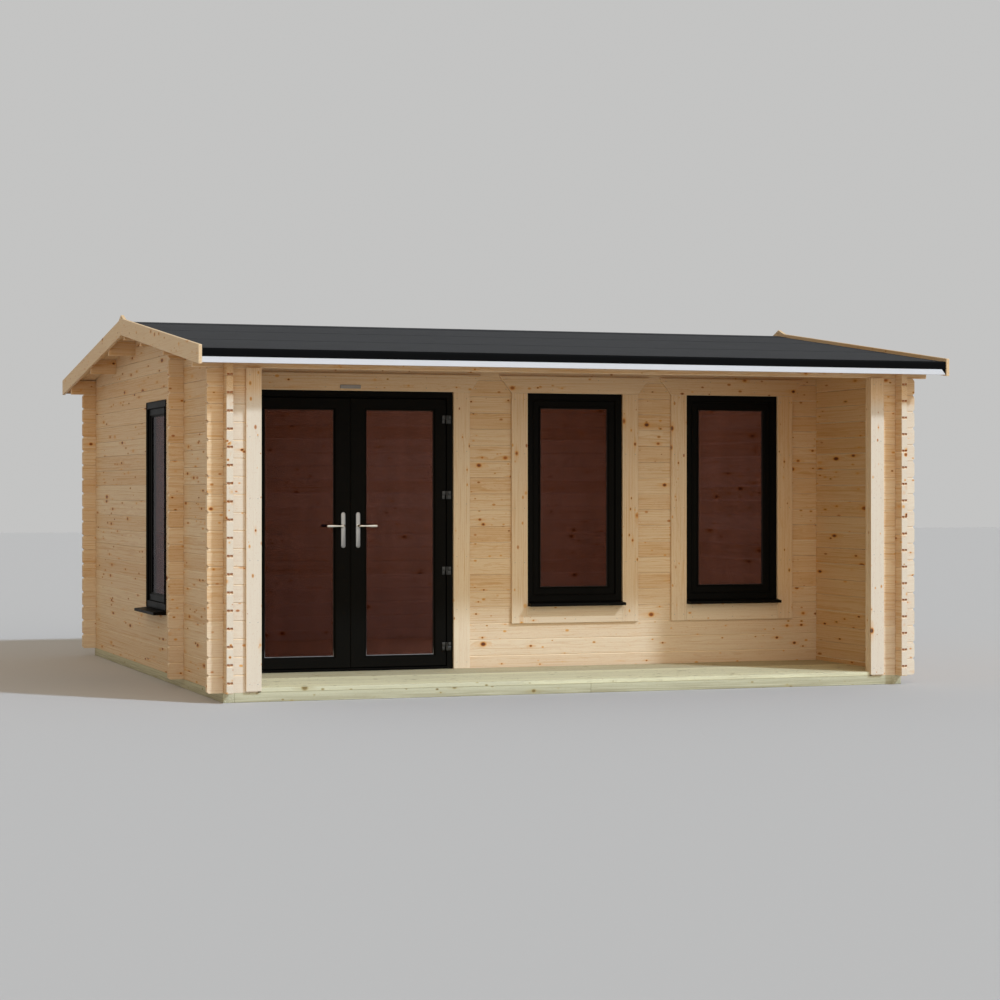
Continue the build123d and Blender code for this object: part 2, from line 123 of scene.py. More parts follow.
def lay_grain(shape, seed, knot_draw=1.0):
    """Gives each timber a trunk of its own to be sawn from: a run of grain, a pith beside it and a shade."""
    grain = shape.verts.layers.float_vector.new("grain")
    tone = shape.verts.layers.float.new("tone")
    draw = random.Random(seed)
    for solid in separate_solids(shape):
        low, high = corners_of(solid)
        size = list(high - low)
        along = size.index(max(size))
        first, second = [axis for axis in range(3) if axis != along]
        middle = (low + high) / 2
        start = draw.uniform(0, trunk_run)
        pith_turn = draw.uniform(0, math.tau)
        pith_far = draw.uniform(*pith_reach)
        shade = draw.random()
        for vert in solid:
            place = vert.co - middle
            vert[grain] = (
                place[along] / knot_draw + start,
                place[first] + pith_far * math.cos(pith_turn),
                place[second] + pith_far * math.sin(pith_turn),
            )
            vert[tone] = shade


def mesh_of(shape, name):
    """Turns an editable mesh into a plain one."""
    mesh = bpy.data.meshes.new(name)
    shape.to_mesh(mesh)
    shape.free()
    return mesh


def place_object(name, data):
    """Puts a mesh, a lamp or a camera into the scene."""
    placed = bpy.data.objects.new(name, data)
    bpy.context.scene.collection.objects.link(placed)
    return placed


def settle(shape, name, finish, body="cabin", replaced=(), smooth=False):
    """Turns an editable mesh into a finished piece of the cabin."""
    mesh = mesh_of(shape, name)
    for left_over in ("custom_normal", "sharp_face", "sharp_edge"):
        if left_over in mesh.attributes:
            mesh.attributes.remove(mesh.attributes[left_over])
    mesh.shade_flat()
    if smooth:
        mesh.shade_smooth()
        mesh.set_sharp_from_angle(angle=smooth_angle)
    mesh.materials.clear()
    mesh.materials.append(finish)
    piece = place_object(name, mesh)
    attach(piece, body)
    if replaced:
        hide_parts(*replaced)
    return piece


def feed(tree, node, inputs):
    """Links or sets some of a node's inputs."""
    for socket, value in inputs.items():
        if isinstance(value, bpy.types.NodeSocket):
            tree.links.new(value, node.inputs[socket])
        else:
            node.inputs[socket].default_value = value


def wire(tree, kind, inputs=None, **settings):
    """Adds a node with its settings and inputs."""
    node = tree.nodes.new(kind)
    for setting, value in settings.items():
        setattr(node, setting, value)
    feed(tree, node, inputs or {})
    return node


def sum_of(tree, operation, first, second=0.0):
    """One step of arithmetic."""
    return wire(tree, "ShaderNodeMath", {0: first, 1: second}, operation=operation).outputs[0]


def product(tree, first, second):
    """One value times another."""
    return sum_of(tree, "MULTIPLY", first, second)


def scaled_sum(tree, value, factor, added):
    """A value times a factor, plus another value."""
    inputs = {0: value, 1: factor, 2: added}
    return wire(tree, "ShaderNodeMath", inputs, operation="MULTIPLY_ADD").outputs[0]


def stretch(tree, vector, factors):
    """A place scaled along each of its axes."""
    return wire(tree, "ShaderNodeVectorMath", {0: vector, 1: factors}, operation="MULTIPLY").outputs[0]


def slope_between(tree, value, none_at, full_at):
    """Rises smoothly from 0 to 1 between two values."""
    inputs = {"Value": value, "From Min": none_at, "From Max": full_at}
    return wire(tree, "ShaderNodeMapRange", inputs, interpolation_type="SMOOTHSTEP").outputs[0]


def ranged(tree, value, least, most):
    """A value from 0 to 1, laid out between two others."""
    return wire(tree, "ShaderNodeMapRange", {"Value": value, "To Min": least, "To Max": most}).outputs[0]


def bump_of(tree, height, strength, distance):
    """A shallow relief from a pattern."""
    inputs = {"Height": height, "Strength": strength, "Distance": distance}
    return wire(tree, "ShaderNodeBump", inputs).outputs[0]


def noise(tree, place, detail, **inputs):
    """Soft random patches over a place."""
    inputs.update({"Vector": place, "Detail": detail})
    return wire(tree, "ShaderNodeTexNoise", inputs).outputs["Fac"]


def tint(tree, amount, under, over):
    """Lays one colour over another."""
    return wire(tree, "ShaderNodeMix", {0: amount, 6: under, 7: over}, data_type="RGBA").outputs[2]


def new_finish(name):
    """An empty finish with its shader and the place on the piece."""
    finish = bpy.data.materials.new(name)
    finish.use_nodes = True
    tree = finish.node_tree
    return finish, tree, tree.nodes["Principled BSDF"], wire(tree, "ShaderNodeTexCoord").outputs


def timber_finish(
    name, pale, dark, painted_lit, resin, knot, core, edge, edge_share, roughness, foot_darkening=0.0,
    knot_rows=9.8, knot_least=0.055, knot_spread=0.10,
):
    """Softwood sawn from a trunk: growth rings round a pith, fibres, knots and a tone for each timber.

    Painted light: it is paler where the key light falls on its front faces and low down, and it is darker in
    streaks along its lowest few centimetres.
    Painted shade: under the eaves and at the far end of the veranda, where shade falls, it is more orange.
    """
    finish, tree, shader, surface = new_finish(name)
    grain = wire(tree, "ShaderNodeAttribute", attribute_name="grain").outputs["Vector"]
    tone, arris, hollow = (
        wire(tree, "ShaderNodeAttribute", attribute_name=label).outputs["Fac"]
        for label in ("tone", "arris", "hollow")
    )

    branch_place = stretch(tree, grain, (0.75, 1.0, 1.0))
    branches = wire(tree, "ShaderNodeTexVoronoi", {"Vector": branch_place, "Scale": knot_rows}).outputs
    pick = wire(tree, "ShaderNodeSeparateColor", {"Color": branches["Color"]}).outputs
    girth = scaled_sum(tree, sum_of(tree, "POWER", pick[0], 3.0), knot_spread, knot_least)
    nearness = sum_of(tree, "DIVIDE", branches["Distance"], girth)
    knot_rim = slope_between(tree, nearness, 1.5, 1.05)
    knot_face = slope_between(tree, nearness, 1.1, 0.75)
    dark_share = scaled_sum(tree, pick[1], 0.6, 0.35)
    knot_core = product(tree, slope_between(tree, nearness, 0.9, 0.5), dark_share)
    from_knot = {0: branch_place, 1: branches["Position"]}
    off_knot = wire(tree, "ShaderNodeVectorMath", from_knot, operation="SUBTRACT").outputs[0]
    drawn_out = stretch(tree, off_knot, (0.34 * knot_rows, knot_rows, knot_rows))
    far_off = wire(tree, "ShaderNodeVectorMath", {0: drawn_out}, operation="LENGTH").outputs["Value"]
    halo = slope_between(tree, sum_of(tree, "DIVIDE", far_off, girth), 2.0, 0.6)

    twig_place = stretch(tree, grain, (0.6, 1.0, 1.0))
    twigs = wire(tree, "ShaderNodeTexVoronoi", {"Vector": twig_place, "Scale": 18.0}).outputs
    twig_pick = wire(tree, "ShaderNodeSeparateColor", {"Color": twigs["Color"]}).outputs
    twig_near = sum_of(tree, "DIVIDE", twigs["Distance"], scaled_sum(tree, twig_pick[0], 0.14, 0.06))
    fleck = slope_between(tree, twig_near, 1.1, 0.6)
    fleck_heart = product(tree, slope_between(tree, twig_near, 0.65, 0.25), twig_pick[2])
    dash = slope_between(tree, noise(tree, stretch(tree, grain, (11.0, 95.0, 95.0)), 1.0), 0.66, 0.76)

    sway = noise(tree, stretch(tree, grain, (1.3, 8.0, 8.0)), 2.0)
    across_grain = stretch(tree, grain, (0.0, 1.0, 1.0))
    off_pith = wire(tree, "ShaderNodeVectorMath", {0: across_grain}, operation="LENGTH").outputs["Value"]
    bent = scaled_sum(tree, halo, 0.007, scaled_sum(tree, sway, 0.022, off_pith))
    ring_run = {"W": bent, "Scale": 150.0, "Detail": 2.5}
    rings = wire(tree, "ShaderNodeTexNoise", ring_run, noise_dimensions="1D").outputs["Fac"]
    late_wood = slope_between(tree, rings, 0.42, 0.68)
    fibres = noise(tree, stretch(tree, grain, (3.0, 190.0, 190.0)), 3.0)
    streaks = noise(tree, stretch(tree, grain, (0.5, 26.0, 26.0)), 3.0)
    streak = slope_between(tree, streaks, 0.48, 0.72)
    depth = scaled_sum(tree, streak, 0.46, product(tree, late_wood, 0.34))
    depth = scaled_sum(tree, tone, 0.36, scaled_sum(tree, fibres, 0.16, depth))

    spot = wire(tree, "ShaderNodeSeparateXYZ", {"Vector": surface["Object"]}).outputs
    outward = wire(tree, "ShaderNodeSeparateXYZ", {"Vector": surface["Normal"]}).outputs
    x, y, z = spot["X"], spot["Y"], spot["Z"]
    # Painted light: front faces are paler where the key light falls, below the eaves and clear of the shade
    # of the corner log ends, and low front faces a little paler.
    front_light_share, low_light_share, end_shade_warmth, eave_shade_warmth = 0.70, 0.32, 0.22, 0.16
    past_left_corner = slope_between(tree, x, -2.346, -2.342)
    left_half = slope_between(tree, x, 0.0, -0.5)
    past_right_corner = slope_between(tree, x, 2.386, 2.389)
    near_front = slope_between(tree, y, -2.36, -2.38)
    foremost = slope_between(tree, y, -2.392, -2.402)
    below_eaves = slope_between(tree, z, 2.02, 1.86)
    near_ground = slope_between(tree, z, 0.75, 0.30)
    faces_front = slope_between(tree, outward["Y"], -0.3, -0.8)
    lit_side = sum_of(tree, "MAXIMUM", product(tree, past_left_corner, left_half), past_right_corner)
    forward = sum_of(tree, "MAXIMUM", product(tree, lit_side, near_front), foremost)
    lit_below_eaves = product(tree, product(tree, forward, front_light_share), below_eaves)
    painted_sunlight = sum_of(tree, "MAXIMUM", lit_below_eaves, product(tree, near_ground, low_light_share))
    painted_sunlight = product(tree, painted_sunlight, faces_front)

    # Painted shade: more orange towards the far end of the veranda, behind the casing, and under the eaves,
    # where shade falls.
    right_end = slope_between(tree, x, 1.2, 2.3)
    before_wall = slope_between(tree, y, -1.0, -1.1)
    behind_casing = slope_between(tree, y, -2.335, -2.30)
    under_eaves = slope_between(tree, z, 1.5, 2.05)
    far_end = product(tree, product(tree, right_end, before_wall), behind_casing)
    shade_warmth = scaled_sum(tree, far_end, end_shade_warmth, product(tree, under_eaves, eave_shade_warmth))
    # Darker in streaks along the lowest few centimetres.
    lowest_band = slope_between(tree, z, 0.07, 0.0)
    foot_streaks = slope_between(tree, streaks, 0.25, 0.60)
    darker_foot = product(tree, product(tree, lowest_band, foot_darkening), foot_streaks)

    dash_colour = tint(tree, tone, resin, knot)
    twig_colour = tint(tree, sum_of(tree, "POWER", twig_pick[1], 2.0), resin, knot)
    colour = tint(tree, depth, pale, dark)
    layers = (
        (shade_warmth, 1.0, resin), (painted_sunlight, 1.0, painted_lit), (darker_foot, 1.0, core), (halo, 0.30, resin),
        (dash, 0.6, dash_colour), (fleck, 0.85, twig_colour), (fleck_heart, 1.0, core),
        (knot_rim, 0.7, resin), (knot_face, 0.94, knot), (knot_core, 1.0, core),
        # Painted shade: the faces inside the end grooves are darkened towards the knot colour.
        # The edge colour paints light or shade on the rounded edges and V joints.
        (arris, edge_share, edge), (hollow, 0.8, knot),
    )
    for cover, share, over in layers:
        colour = tint(tree, product(tree, cover, share), colour, over)

    relief = scaled_sum(tree, late_wood, 0.5, fibres)
    feed(tree, shader, {
        "Base Color": colour, "Roughness": ranged(tree, late_wood, roughness, roughness - 0.12),
        "Normal": bump_of(tree, relief, 0.35, 0.0008), "Specular IOR Level": 0.35,
    })
    return finish


treated_finish = timber_finish(
    "treated_softwood", treated_pale, treated_dark, treated_painted_lit, treated_resin, treated_knot,
    treated_core, treated_edge_shade, edge_share=0.35, roughness=0.78, foot_darkening=0.42,
)
shape = node_shape("base_frame")
ease_edges(shape, sawn_arris)
lay_grain(shape, 11)
settle(shape, "base_timbers", treated_finish, replaced=["base_frame"])


# Veranda deck: treated boards laid along the front, tongued together with a fine V between them.
# The front board is short, because the cased corners stand on either side of it,
# and the last one stops just clear of the door frame.
deck_low, deck_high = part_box("veranda_deck")
casing_low, casing_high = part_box("corner_casing_left")
door_low, door_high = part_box("door_frame")
deck_rows = 10
deck_joint = 0.0006
deck_vee = 0.003
deck_clearance = 0.0006
deck_pale = (0.83, 0.78, 0.50, 1.0)
deck_dark = (0.43, 0.355, 0.205, 1.0)
# Painted light: the paler colour of lit front faces.
deck_painted_lit = (0.54, 0.52, 0.365, 1.0)
inner_rows_from = -1.63
inner_rows_tone = (1.35, 0.4)
outer_rows_tone = (-0.6, 0.7)
deck_finish = timber_finish(
    "bleached_deck_boards", deck_pale, deck_dark, deck_painted_lit, treated_resin, treated_knot,
    treated_core, treated_edge_shade, edge_share=0.3, roughness=0.78,
)


def add_block(shape, low, high):
    """Adds a plain block between two corners."""
    size = Vector(high) - Vector(low)
    middle = (Vector(high) + Vector(low)) / 2
    place = Matrix.Translation(middle) @ Matrix.Diagonal((*size, 1.0))
    bmesh.ops.create_cube(shape, size=1.0, matrix=place)


def new_tree(name, wanted):
    """An empty node tree with named inputs."""
    tree = bpy.data.node_groups.new(name, "GeometryNodeTree")
    for label, kind in wanted.items():
        tree.interface.new_socket(label, in_out="INPUT", socket_type="NodeSocket" + kind)
    tree.interface.new_socket("Geometry", in_out="OUTPUT", socket_type="NodeSocketGeometry")
    return tree, wire(tree, "NodeGroupInput").outputs


def close_tree(tree, placed, finish):
    """Ends a node tree: the instances are made real and get their finish."""
    solid = wire(tree, "GeometryNodeRealizeInstances", {"Geometry": placed})
    dressed = wire(tree, "GeometryNodeSetMaterial", {"Geometry": solid.outputs[0], "Material": finish})
    wire(tree, "NodeGroupOutput", {0: dressed.outputs[0]})
    return tree


def board_row_tree():
    """Geometry nodes that repeat one board in a straight row, each a hair out of line."""
    tree, given = new_tree("Board row", {
        "Geometry": "Geometry", "Board": "Object", "Boards": "Int", "Step": "Vector",
        "Unevenness": "Float", "Seed": "Int", "Finish": "Material",
    })
    steps = {"Count": given["Boards"], "Offset": given["Step"]}
    line = wire(tree, "GeometryNodeMeshLine", steps, mode="OFFSET")
    spread = {0: (-1.0, -1.0, -1.0), 1: (1.0, 1.0, 1.0), 8: given["Seed"]}
    nudge = wire(tree, "FunctionNodeRandomValue", spread, data_type="FLOAT_VECTOR").outputs[0]
    uneven = {0: nudge, 3: given["Unevenness"]}
    nudge = wire(tree, "ShaderNodeVectorMath", uneven, operation="SCALE").outputs[0]
    places = wire(tree, "GeometryNodeSetPosition", {"Geometry": line.outputs[0], "Offset": nudge})
    board = wire(tree, "GeometryNodeObjectInfo", {"Object": given["Board"]}).outputs["Geometry"]
    laid = wire(tree, "GeometryNodeInstanceOnPoints", {"Points": places.outputs[0], "Instance": board})
    return close_tree(tree, laid.outputs[0], given["Finish"])


def run_tree(tree, start, values):
    """Runs a node tree on a mesh and hands the result back as an editable mesh."""
    holder = place_object("holder", start)
    modifier = holder.modifiers.new("Repeat", "NODES")
    modifier.node_group = tree
    for item in tree.interface.items_tree:
        if item.in_out == "INPUT" and item.name in values:
            modifier[item.identifier] = values[item.name]
    graph = bpy.context.evaluated_depsgraph_get()
    mesh = bpy.data.meshes.new_from_object(holder.evaluated_get(graph))
    shape = bmesh.new()
    shape.from_mesh(mesh)
    bpy.data.objects.remove(holder)
    bpy.data.meshes.remove(mesh)
    return shape


board_row = board_row_tree()


def lay_boards(board_shape, boards, step, finish, seed, unevenness=0.0002):
    """A row of like boards from one board."""
    board = place_object("board", mesh_of(board_shape, "board"))
    values = {"Board": board, "Boards": boards, "Step": step, "Unevenness": unevenness}
    values.update({"Seed": seed, "Finish": finish})
    shape = run_tree(board_row, bpy.data.meshes.new("row"), values)
    bpy.data.objects.remove(board)
    return shape


def edge_vees(shape, axis, width):
    """Chamfers the long edges of a board, for the V between it and the next."""
    long_edges = []
    for edge in shape.edges:
        run = edge.verts[0].co - edge.verts[1].co
        if abs(run[axis]) > 0.5 * edge.calc_length():
            long_edges.append(edge)
    bmesh.ops.bevel(
        shape, geom=long_edges, offset=width, offset_type="OFFSET", segments=1, affect="EDGES",
        clamp_overlap=False,
    )


deck_front = casing_high.y + deck_clearance
deck_back = door_low.y - deck_clearance
deck_pitch = (deck_back - deck_front) / deck_rows
shape = bmesh.new()
board_low = (deck_low.x, deck_front, deck_low.z)
board_high = (deck_high.x, deck_front + deck_pitch - deck_joint, deck_high.z)
add_block(shape, board_low, board_high)
edge_vees(shape, 0, deck_vee)
shape = lay_boards(shape, deck_rows, (0.0, deck_pitch, 0.0), deck_finish, 3)
front_board = bmesh.new()
short_reach = -casing_low.x - (casing_high.x - casing_low.x) - deck_clearance
front_low = (-short_reach, deck_low.y, deck_low.z)
front_high = (short_reach, deck_front - deck_joint, deck_high.z)
add_block(front_board, front_low, front_high)
edge_vees(front_board, 0, deck_vee)
shape.from_mesh(mesh_of(front_board, "front_board"))
lay_grain(shape, 12)
# The rows nearer the wall are given darker tones and the outer rows paler ones.
tone = shape.verts.layers.float["tone"]
for solid in separate_solids(shape):
    low, high = corners_of(solid)
    least, spread = inner_rows_tone if (low.y + high.y) / 2 > inner_rows_from else outer_rows_tone
    for vert in solid:
        vert[tone] = least + spread * vert[tone]
settle(shape, "deck_boards", deck_finish, replaced=["veranda_deck"])


# Room floor: 28 mm pine boards along the room, tongued together and nailed to the joists.
# Planed, not sealed, and a little darker than the logs.
floor_low, floor_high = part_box("room_floor")
floor_rows = 30
floor_joint = 0.0005
floor_vee = 0.0025
board_pale = (0.77, 0.61, 0.40, 1.0)
board_dark = (0.64, 0.41, 0.20, 1.0)
# Painted light: the paler colour of lit front faces.
pine_painted_lit = (0.71, 0.655, 0.55, 1.0)
pine_resin = (0.68, 0.31, 0.045, 1.0)
pine_knot = (0.42, 0.115, 0.012, 1.0)
pine_core = (0.05, 0.012, 0.004, 1.0)
# Painted light: a paler colour laid on the rounded edges.
board_edge_light = (0.80, 0.67, 0.48, 1.0)
board_finish = timber_finish(
    "planed_pine_boards", board_pale, board_dark, pine_painted_lit, pine_resin, pine_knot, pine_core,
    board_edge_light, edge_share=0.4, roughness=0.62,
)
floor_pitch = (floor_high.y - floor_low.y) / floor_rows
shape = bmesh.new()
add_block(shape, floor_low, (floor_high.x, floor_low.y + floor_pitch - floor_joint, floor_high.z))
edge_vees(shape, 0, floor_vee)
shape = lay_boards(shape, floor_rows, (0.0, floor_pitch, 0.0), board_finish, 4)
lay_grain(shape, 13)
settle(shape, "floor_boards", board_finish, replaced=["room_floor"])


# Log walls: 44 mm pine logs, planed with a V joint, tongued and grooved, and saddle-notched where
# they cross so that each corner locks. Their ends run on past the corners, are eased by hand
# and show the two grooves that the tongues of the log below fill.
log_pitch = 0.114
starter_log = 0.062
front_end_easing = 0.006
side_end_easing = 0.012
log_arris = 0.0015
shortest_log_edge = 0.003
groove_width = 0.0165
groove_height = 0.012
groove_web = 0.004
groove_depth = 0.009
groove_run_out = 0.004
on_line = 0.0001
sunk_least = 0.0005
level_rim = 0.006
under_log = 0.002
joint_steepness = (0.3, 0.95)
log_pale = (0.82, 0.645, 0.42, 1.0)
log_dark = (0.62, 0.345, 0.13, 1.0)
# Painted light: a pale colour laid on the V joint faces, so that their shade shows less.
log_joint_light = (0.92, 0.74, 0.50, 1.0)
side_knots = 2.4
log_finish = timber_finish(
    "planed_pine_logs", log_pale, log_dark, pine_painted_lit, pine_resin, pine_knot, pine_core,
    log_joint_light, edge_share=0.9, roughness=0.64,
)
side_log_finish = timber_finish(
    "planed_side_logs", log_pale, log_dark, pine_painted_lit, pine_resin, pine_knot, pine_core,
    log_joint_light, edge_share=0.9, roughness=0.64, knot_rows=13.0, knot_least=0.09, knot_spread=0.12,
)
base_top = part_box("left_wall")[0].z
log_end_x = -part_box("front_wall_left")[0].x
log_end_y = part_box("left_wall")[1].y


def cut_away(shape, cutters):
    """Takes the cutters' volume out of a shape."""
    solids = [place_object("cut", mesh_of(part, "cut")) for part in (shape, cutters)]
    cut = solids[0].modifiers.new("Cut", "BOOLEAN")
    cut.operation = "DIFFERENCE"
    cut.solver = "EXACT"
    cut.object = solids[1]
    graph = bpy.context.evaluated_depsgraph_get()
    mesh = bpy.data.meshes.new_from_object(solids[0].evaluated_get(graph))
    result = bmesh.new()
    result.from_mesh(mesh)
    for solid in solids:
        bpy.data.objects.remove(solid)
    bpy.data.meshes.remove(mesh)
    return result


def ease_log_ends(shape, axis, ends):
    """Rounds the top and bottom edges of the log ends."""
    rims = []
    for edge in shape.edges:
        first, second = (vert.co for vert in edge.verts)
        for end in ends:
            on_end = abs(first[axis] - end) < on_line and abs(second[axis] - end) < on_line
            if on_end and abs(first.z - second.z) < level_rim:
                rims.append(edge)
    easing = side_end_easing if axis == 0 else front_end_easing
    bmesh.ops.bevel(
        shape, geom=rims, offset=easing, offset_type="OFFSET", segments=1, affect="EDGES",
        clamp_overlap=False,
    )


def add_grooves(cutters, axis, end, middle, lows):
    """Cutters for the two grooves under each log, where they come out on its end."""
    way = 1 if end > 0 else -1
    for low in lows:
        for side in (-1, 1):
            near = middle + side * groove_web / 2
            far = near + side * groove_width
            span = sorted((end + way * groove_run_out, end - way * groove_depth))
            across = sorted((near, far))
            corner = [0.0, 0.0, low - groove_run_out]
            other = [0.0, 0.0, low + groove_height]
            corner[axis], other[axis] = span
            corner[1 - axis], other[1 - axis] = across
            add_block(cutters, corner, other)


def mark_joints(shape, seed):
    """Marks the sloping faces of the V joints for painted light, which pales most of them so that their shade
    shows less, and leaves a few dark.
    """
    arris = shape.faces.layers.float.get("arris")
    draw = random.Random(seed)
    least, most = joint_steepness
    for solid in separate_solids(shape):
        joint_light = draw.uniform(0.0, 1.0) ** 0.5
        for face in {face for vert in solid for face in vert.link_faces}:
            face[arris] = joint_light if least < abs(face.normal.z) < most else 0.0


def mark_grooves(shape, axis, ends, middle, lows):
    """Marks the faces inside the end grooves, which the light hardly reaches, for painted shade."""
    hollow = shape.faces.layers.float.new("hollow")
    side_reach = groove_web / 2 + groove_width + on_line
    for face in shape.faces:
        spot = face.calc_center_median()
        own_end = [end for end in ends if end * spot[axis] > 0]
        depths = [abs(end) - abs(spot[axis]) for end in own_end]
        sunk = any(sunk_least < depth < groove_depth + sunk_least for depth in depths)
        beside = groove_web / 2 - on_line < abs(spot[1 - axis] - middle) < side_reach
        level = any(-under_log < spot.z - low < groove_height + on_line for low in lows)
        if sunk and beside and level:
            face[hollow] = 1.0


def log_wall(node, name, axis, ends, lows, seed):
    """One wall of logs with its eased and grooved ends."""
    shape = node_shape(node)
    ease_log_ends(shape, axis, ends)
    low, high = corners_of(shape.verts)
    middle = (low + high)[1 - axis] / 2
    cutters = bmesh.new()
    for end in ends:
        add_grooves(cutters, axis, end, middle, lows)
    if ends:
        shape = cut_away(shape, cutters)
    mark_grooves(shape, axis, ends, middle, lows)
    ease_edges(shape, log_arris, 1, shortest_log_edge)
    mark_joints(shape, seed)
    lay_grain(shape, seed, side_knots if axis == 1 else 1.0)
    settle(shape, name, side_log_finish if axis == 1 else log_finish, replaced=[node])


cross_lows = [base_top + course * log_pitch for course in range(1, 19)]
side_lows = [base_top + starter_log + course * log_pitch for course in range(18)]
both_ends = (-log_end_x, log_end_x)
log_wall("left_wall", "left_wall_logs", 1, (-log_end_y, log_end_y), side_lows, 21)
log_wall("right_wall", "right_wall_logs", 1, (-log_end_y, log_end_y), side_lows, 22)
log_wall("rear_wall", "rear_wall_logs", 0, both_ends, cross_lows[:-1], 23)
log_wall("front_wall_left", "front_logs_left_of_doors", 0, (-log_end_x,), cross_lows[:-2], 24)
log_wall("front_wall_right", "front_logs_right_of_doors", 0, (log_end_x,), cross_lows[:-2], 25)
log_wall("front_wall_over_door", "front_logs_over_openings", 0, both_ends, cross_lows[-2:], 26)
log_wall("front_corner_left", "corner_logs_left", 0, (-log_end_x,), cross_lows[:-1], 27)
log_wall("front_corner_right", "corner_logs_right", 0, (log_end_x,), cross_lows[:-1], 28)
log_wall("front_eave_log", "eave_log", 0, (), (), 29)
log_wall("roof_purlins", "purlin_logs", 0, (), (), 30)


# Corner casings: three planed boards round the inner end of each stack of short logs.
# Pale pine with eased edges, nailed to the log ends, and stopped just above the base.
board_arris = 0.002
casing_pale = (0.82, 0.66, 0.45, 1.0)
casing_dark = (0.67, 0.43, 0.215, 1.0)
casing_finish = timber_finish(
    "pale_casing_boards", casing_pale, casing_dark, pine_painted_lit, pine_resin, pine_knot, pine_core,
    board_edge_light, edge_share=0.4, roughness=0.6,
)


def dressed_boards(name, finish, seed, *nodes):
    """Planed boards from CAD nodes, with eased edges and grain."""
    shape = node_shape(*nodes)
    ease_edges(shape, board_arris)
    lay_grain(shape, seed)
    settle(shape, name, finish, replaced=nodes)


dressed_boards("casing_boards", casing_finish, 31, "corner_casing_left", "corner_casing_right")


# Roof boards: 18 mm tongued boards from the ridge down to each eave, nailed to the purlins.
# Their V joints show from the veranda and under the verges.
roof_slope = math.tan(math.radians(7.1))
roof_rows = 54
roof_vee = 0.0035
roof_joint = 0.0005


def stitch(shape, loops, ring=False):
    """Joins loops of vertices with faces, and closes both ends unless the loops go round in a ring."""
    pairs = list(zip(loops, loops[1:]))
    if ring:
        pairs.append((loops[-1], loops[0]))
    else:
        shape.faces.new(loops[0])
        shape.faces.new(loops[-1])
    for near, far in pairs:
        for index in range(len(near)):
            following = (index + 1) % len(near)
            shape.faces.new((near[index], near[following], far[following], far[index]))


def add_run(shape, outline, x0, x1):
    """Draws an outline in (y, z) out along X."""
    stitch(shape, [[shape.verts.new((x, y, z)) for y, z in outline] for x in (x0, x1)])


def turn_outward(shape):
    """Turns the faces of a shape to one side, outwards."""
    bmesh.ops.recalc_face_normals(shape, faces=shape.faces)
    return shape


for name, side, seed in (("front", -1, 41), ("rear", 1, 42)):
    low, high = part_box("roof_boards_" + name)
    ridge_y = high.y if side < 0 else low.y
    eave_y = low.y if side < 0 else high.y
    thick = high.z - low.z - abs(eave_y - ridge_y) * roof_slope
    pitch = (high.x - low.x) / roof_rows
    outline = [(ridge_y, high.z - thick), (eave_y, low.z), (eave_y, low.z + thick), (ridge_y, high.z)]
    shape = bmesh.new()
    add_run(shape, outline, low.x, low.x + pitch - roof_joint)
    edge_vees(turn_outward(shape), 1, roof_vee)
    shape = lay_boards(shape, roof_rows, (pitch, 0.0, 0.0), board_finish, seed)
    lay_grain(shape, seed)
    settle(shape, "roof_boarding_" + name, board_finish, replaced=["roof_boards_" + name])


# Fascias and bargeboards: planed pine boards along the eaves and up the verges, with a small
# pointed block on each ridge end. Screwed to the purlin ends.
dressed_boards("fascia_boards", board_finish, 43, "eave_fascias")
verge_nodes = [f"bargeboard_{hand}_{way}" for hand in ("left", "right") for way in ("front", "rear")]
verge_seam = 0.0018
shape = node_shape(*verge_nodes)
for solid in separate_solids(shape):
    low, high = corners_of(solid)
    way = 1 if low.y + high.y > 0 else -1
    for vert in solid:
        if abs(vert.co.y) < verge_seam:
            vert.co.y = way * verge_seam
ease_edges(shape, board_arris)
lay_grain(shape, 44)
settle(shape, "verge_boards", board_finish, replaced=verge_nodes)
dressed_boards("ridge_points", board_finish, 45, "ridge_peaks")


# Roof sheet: dark grey rubber-backed felt in three courses on each slope, each lapped over
# the one below, with a folded strip along the ridge. Fine mineral grains make it matt.
sheet_thick = 0.004
lap_rise = 0.0012
lap_taper = 0.12
sheet_courses = 3
cap_reach = 0.15
cap_thick = 0.003
felt_dark = (0.012, 0.012, 0.0125, 1.0)
felt_light = (0.024, 0.024, 0.025, 1.0)


def felt_finish():
    """Mineral felt: cloudy, streaked along the sheet, with fine grains."""
    finish, tree, shader, surface = new_finish("mineral_felt")
    place = surface["Object"]
    clouds = noise(tree, stretch(tree, place, (1.2, 4.0, 4.0)), 5.0)
    grains = noise(tree, place, 2.0, Scale=420.0)
    speck = product(tree, slope_between(tree, grains, 0.35, 0.75), 0.45)
    mixed = scaled_sum(tree, slope_between(tree, clouds, 0.32, 0.72), 0.65, speck)
    feed(tree, shader, {
        "Base Color": tint(tree, mixed, felt_dark, felt_light), "Roughness": 0.82,
        "Normal": bump_of(tree, grains, 0.5, 0.001), "Specular IOR Level": 0.3,
    })
    return finish


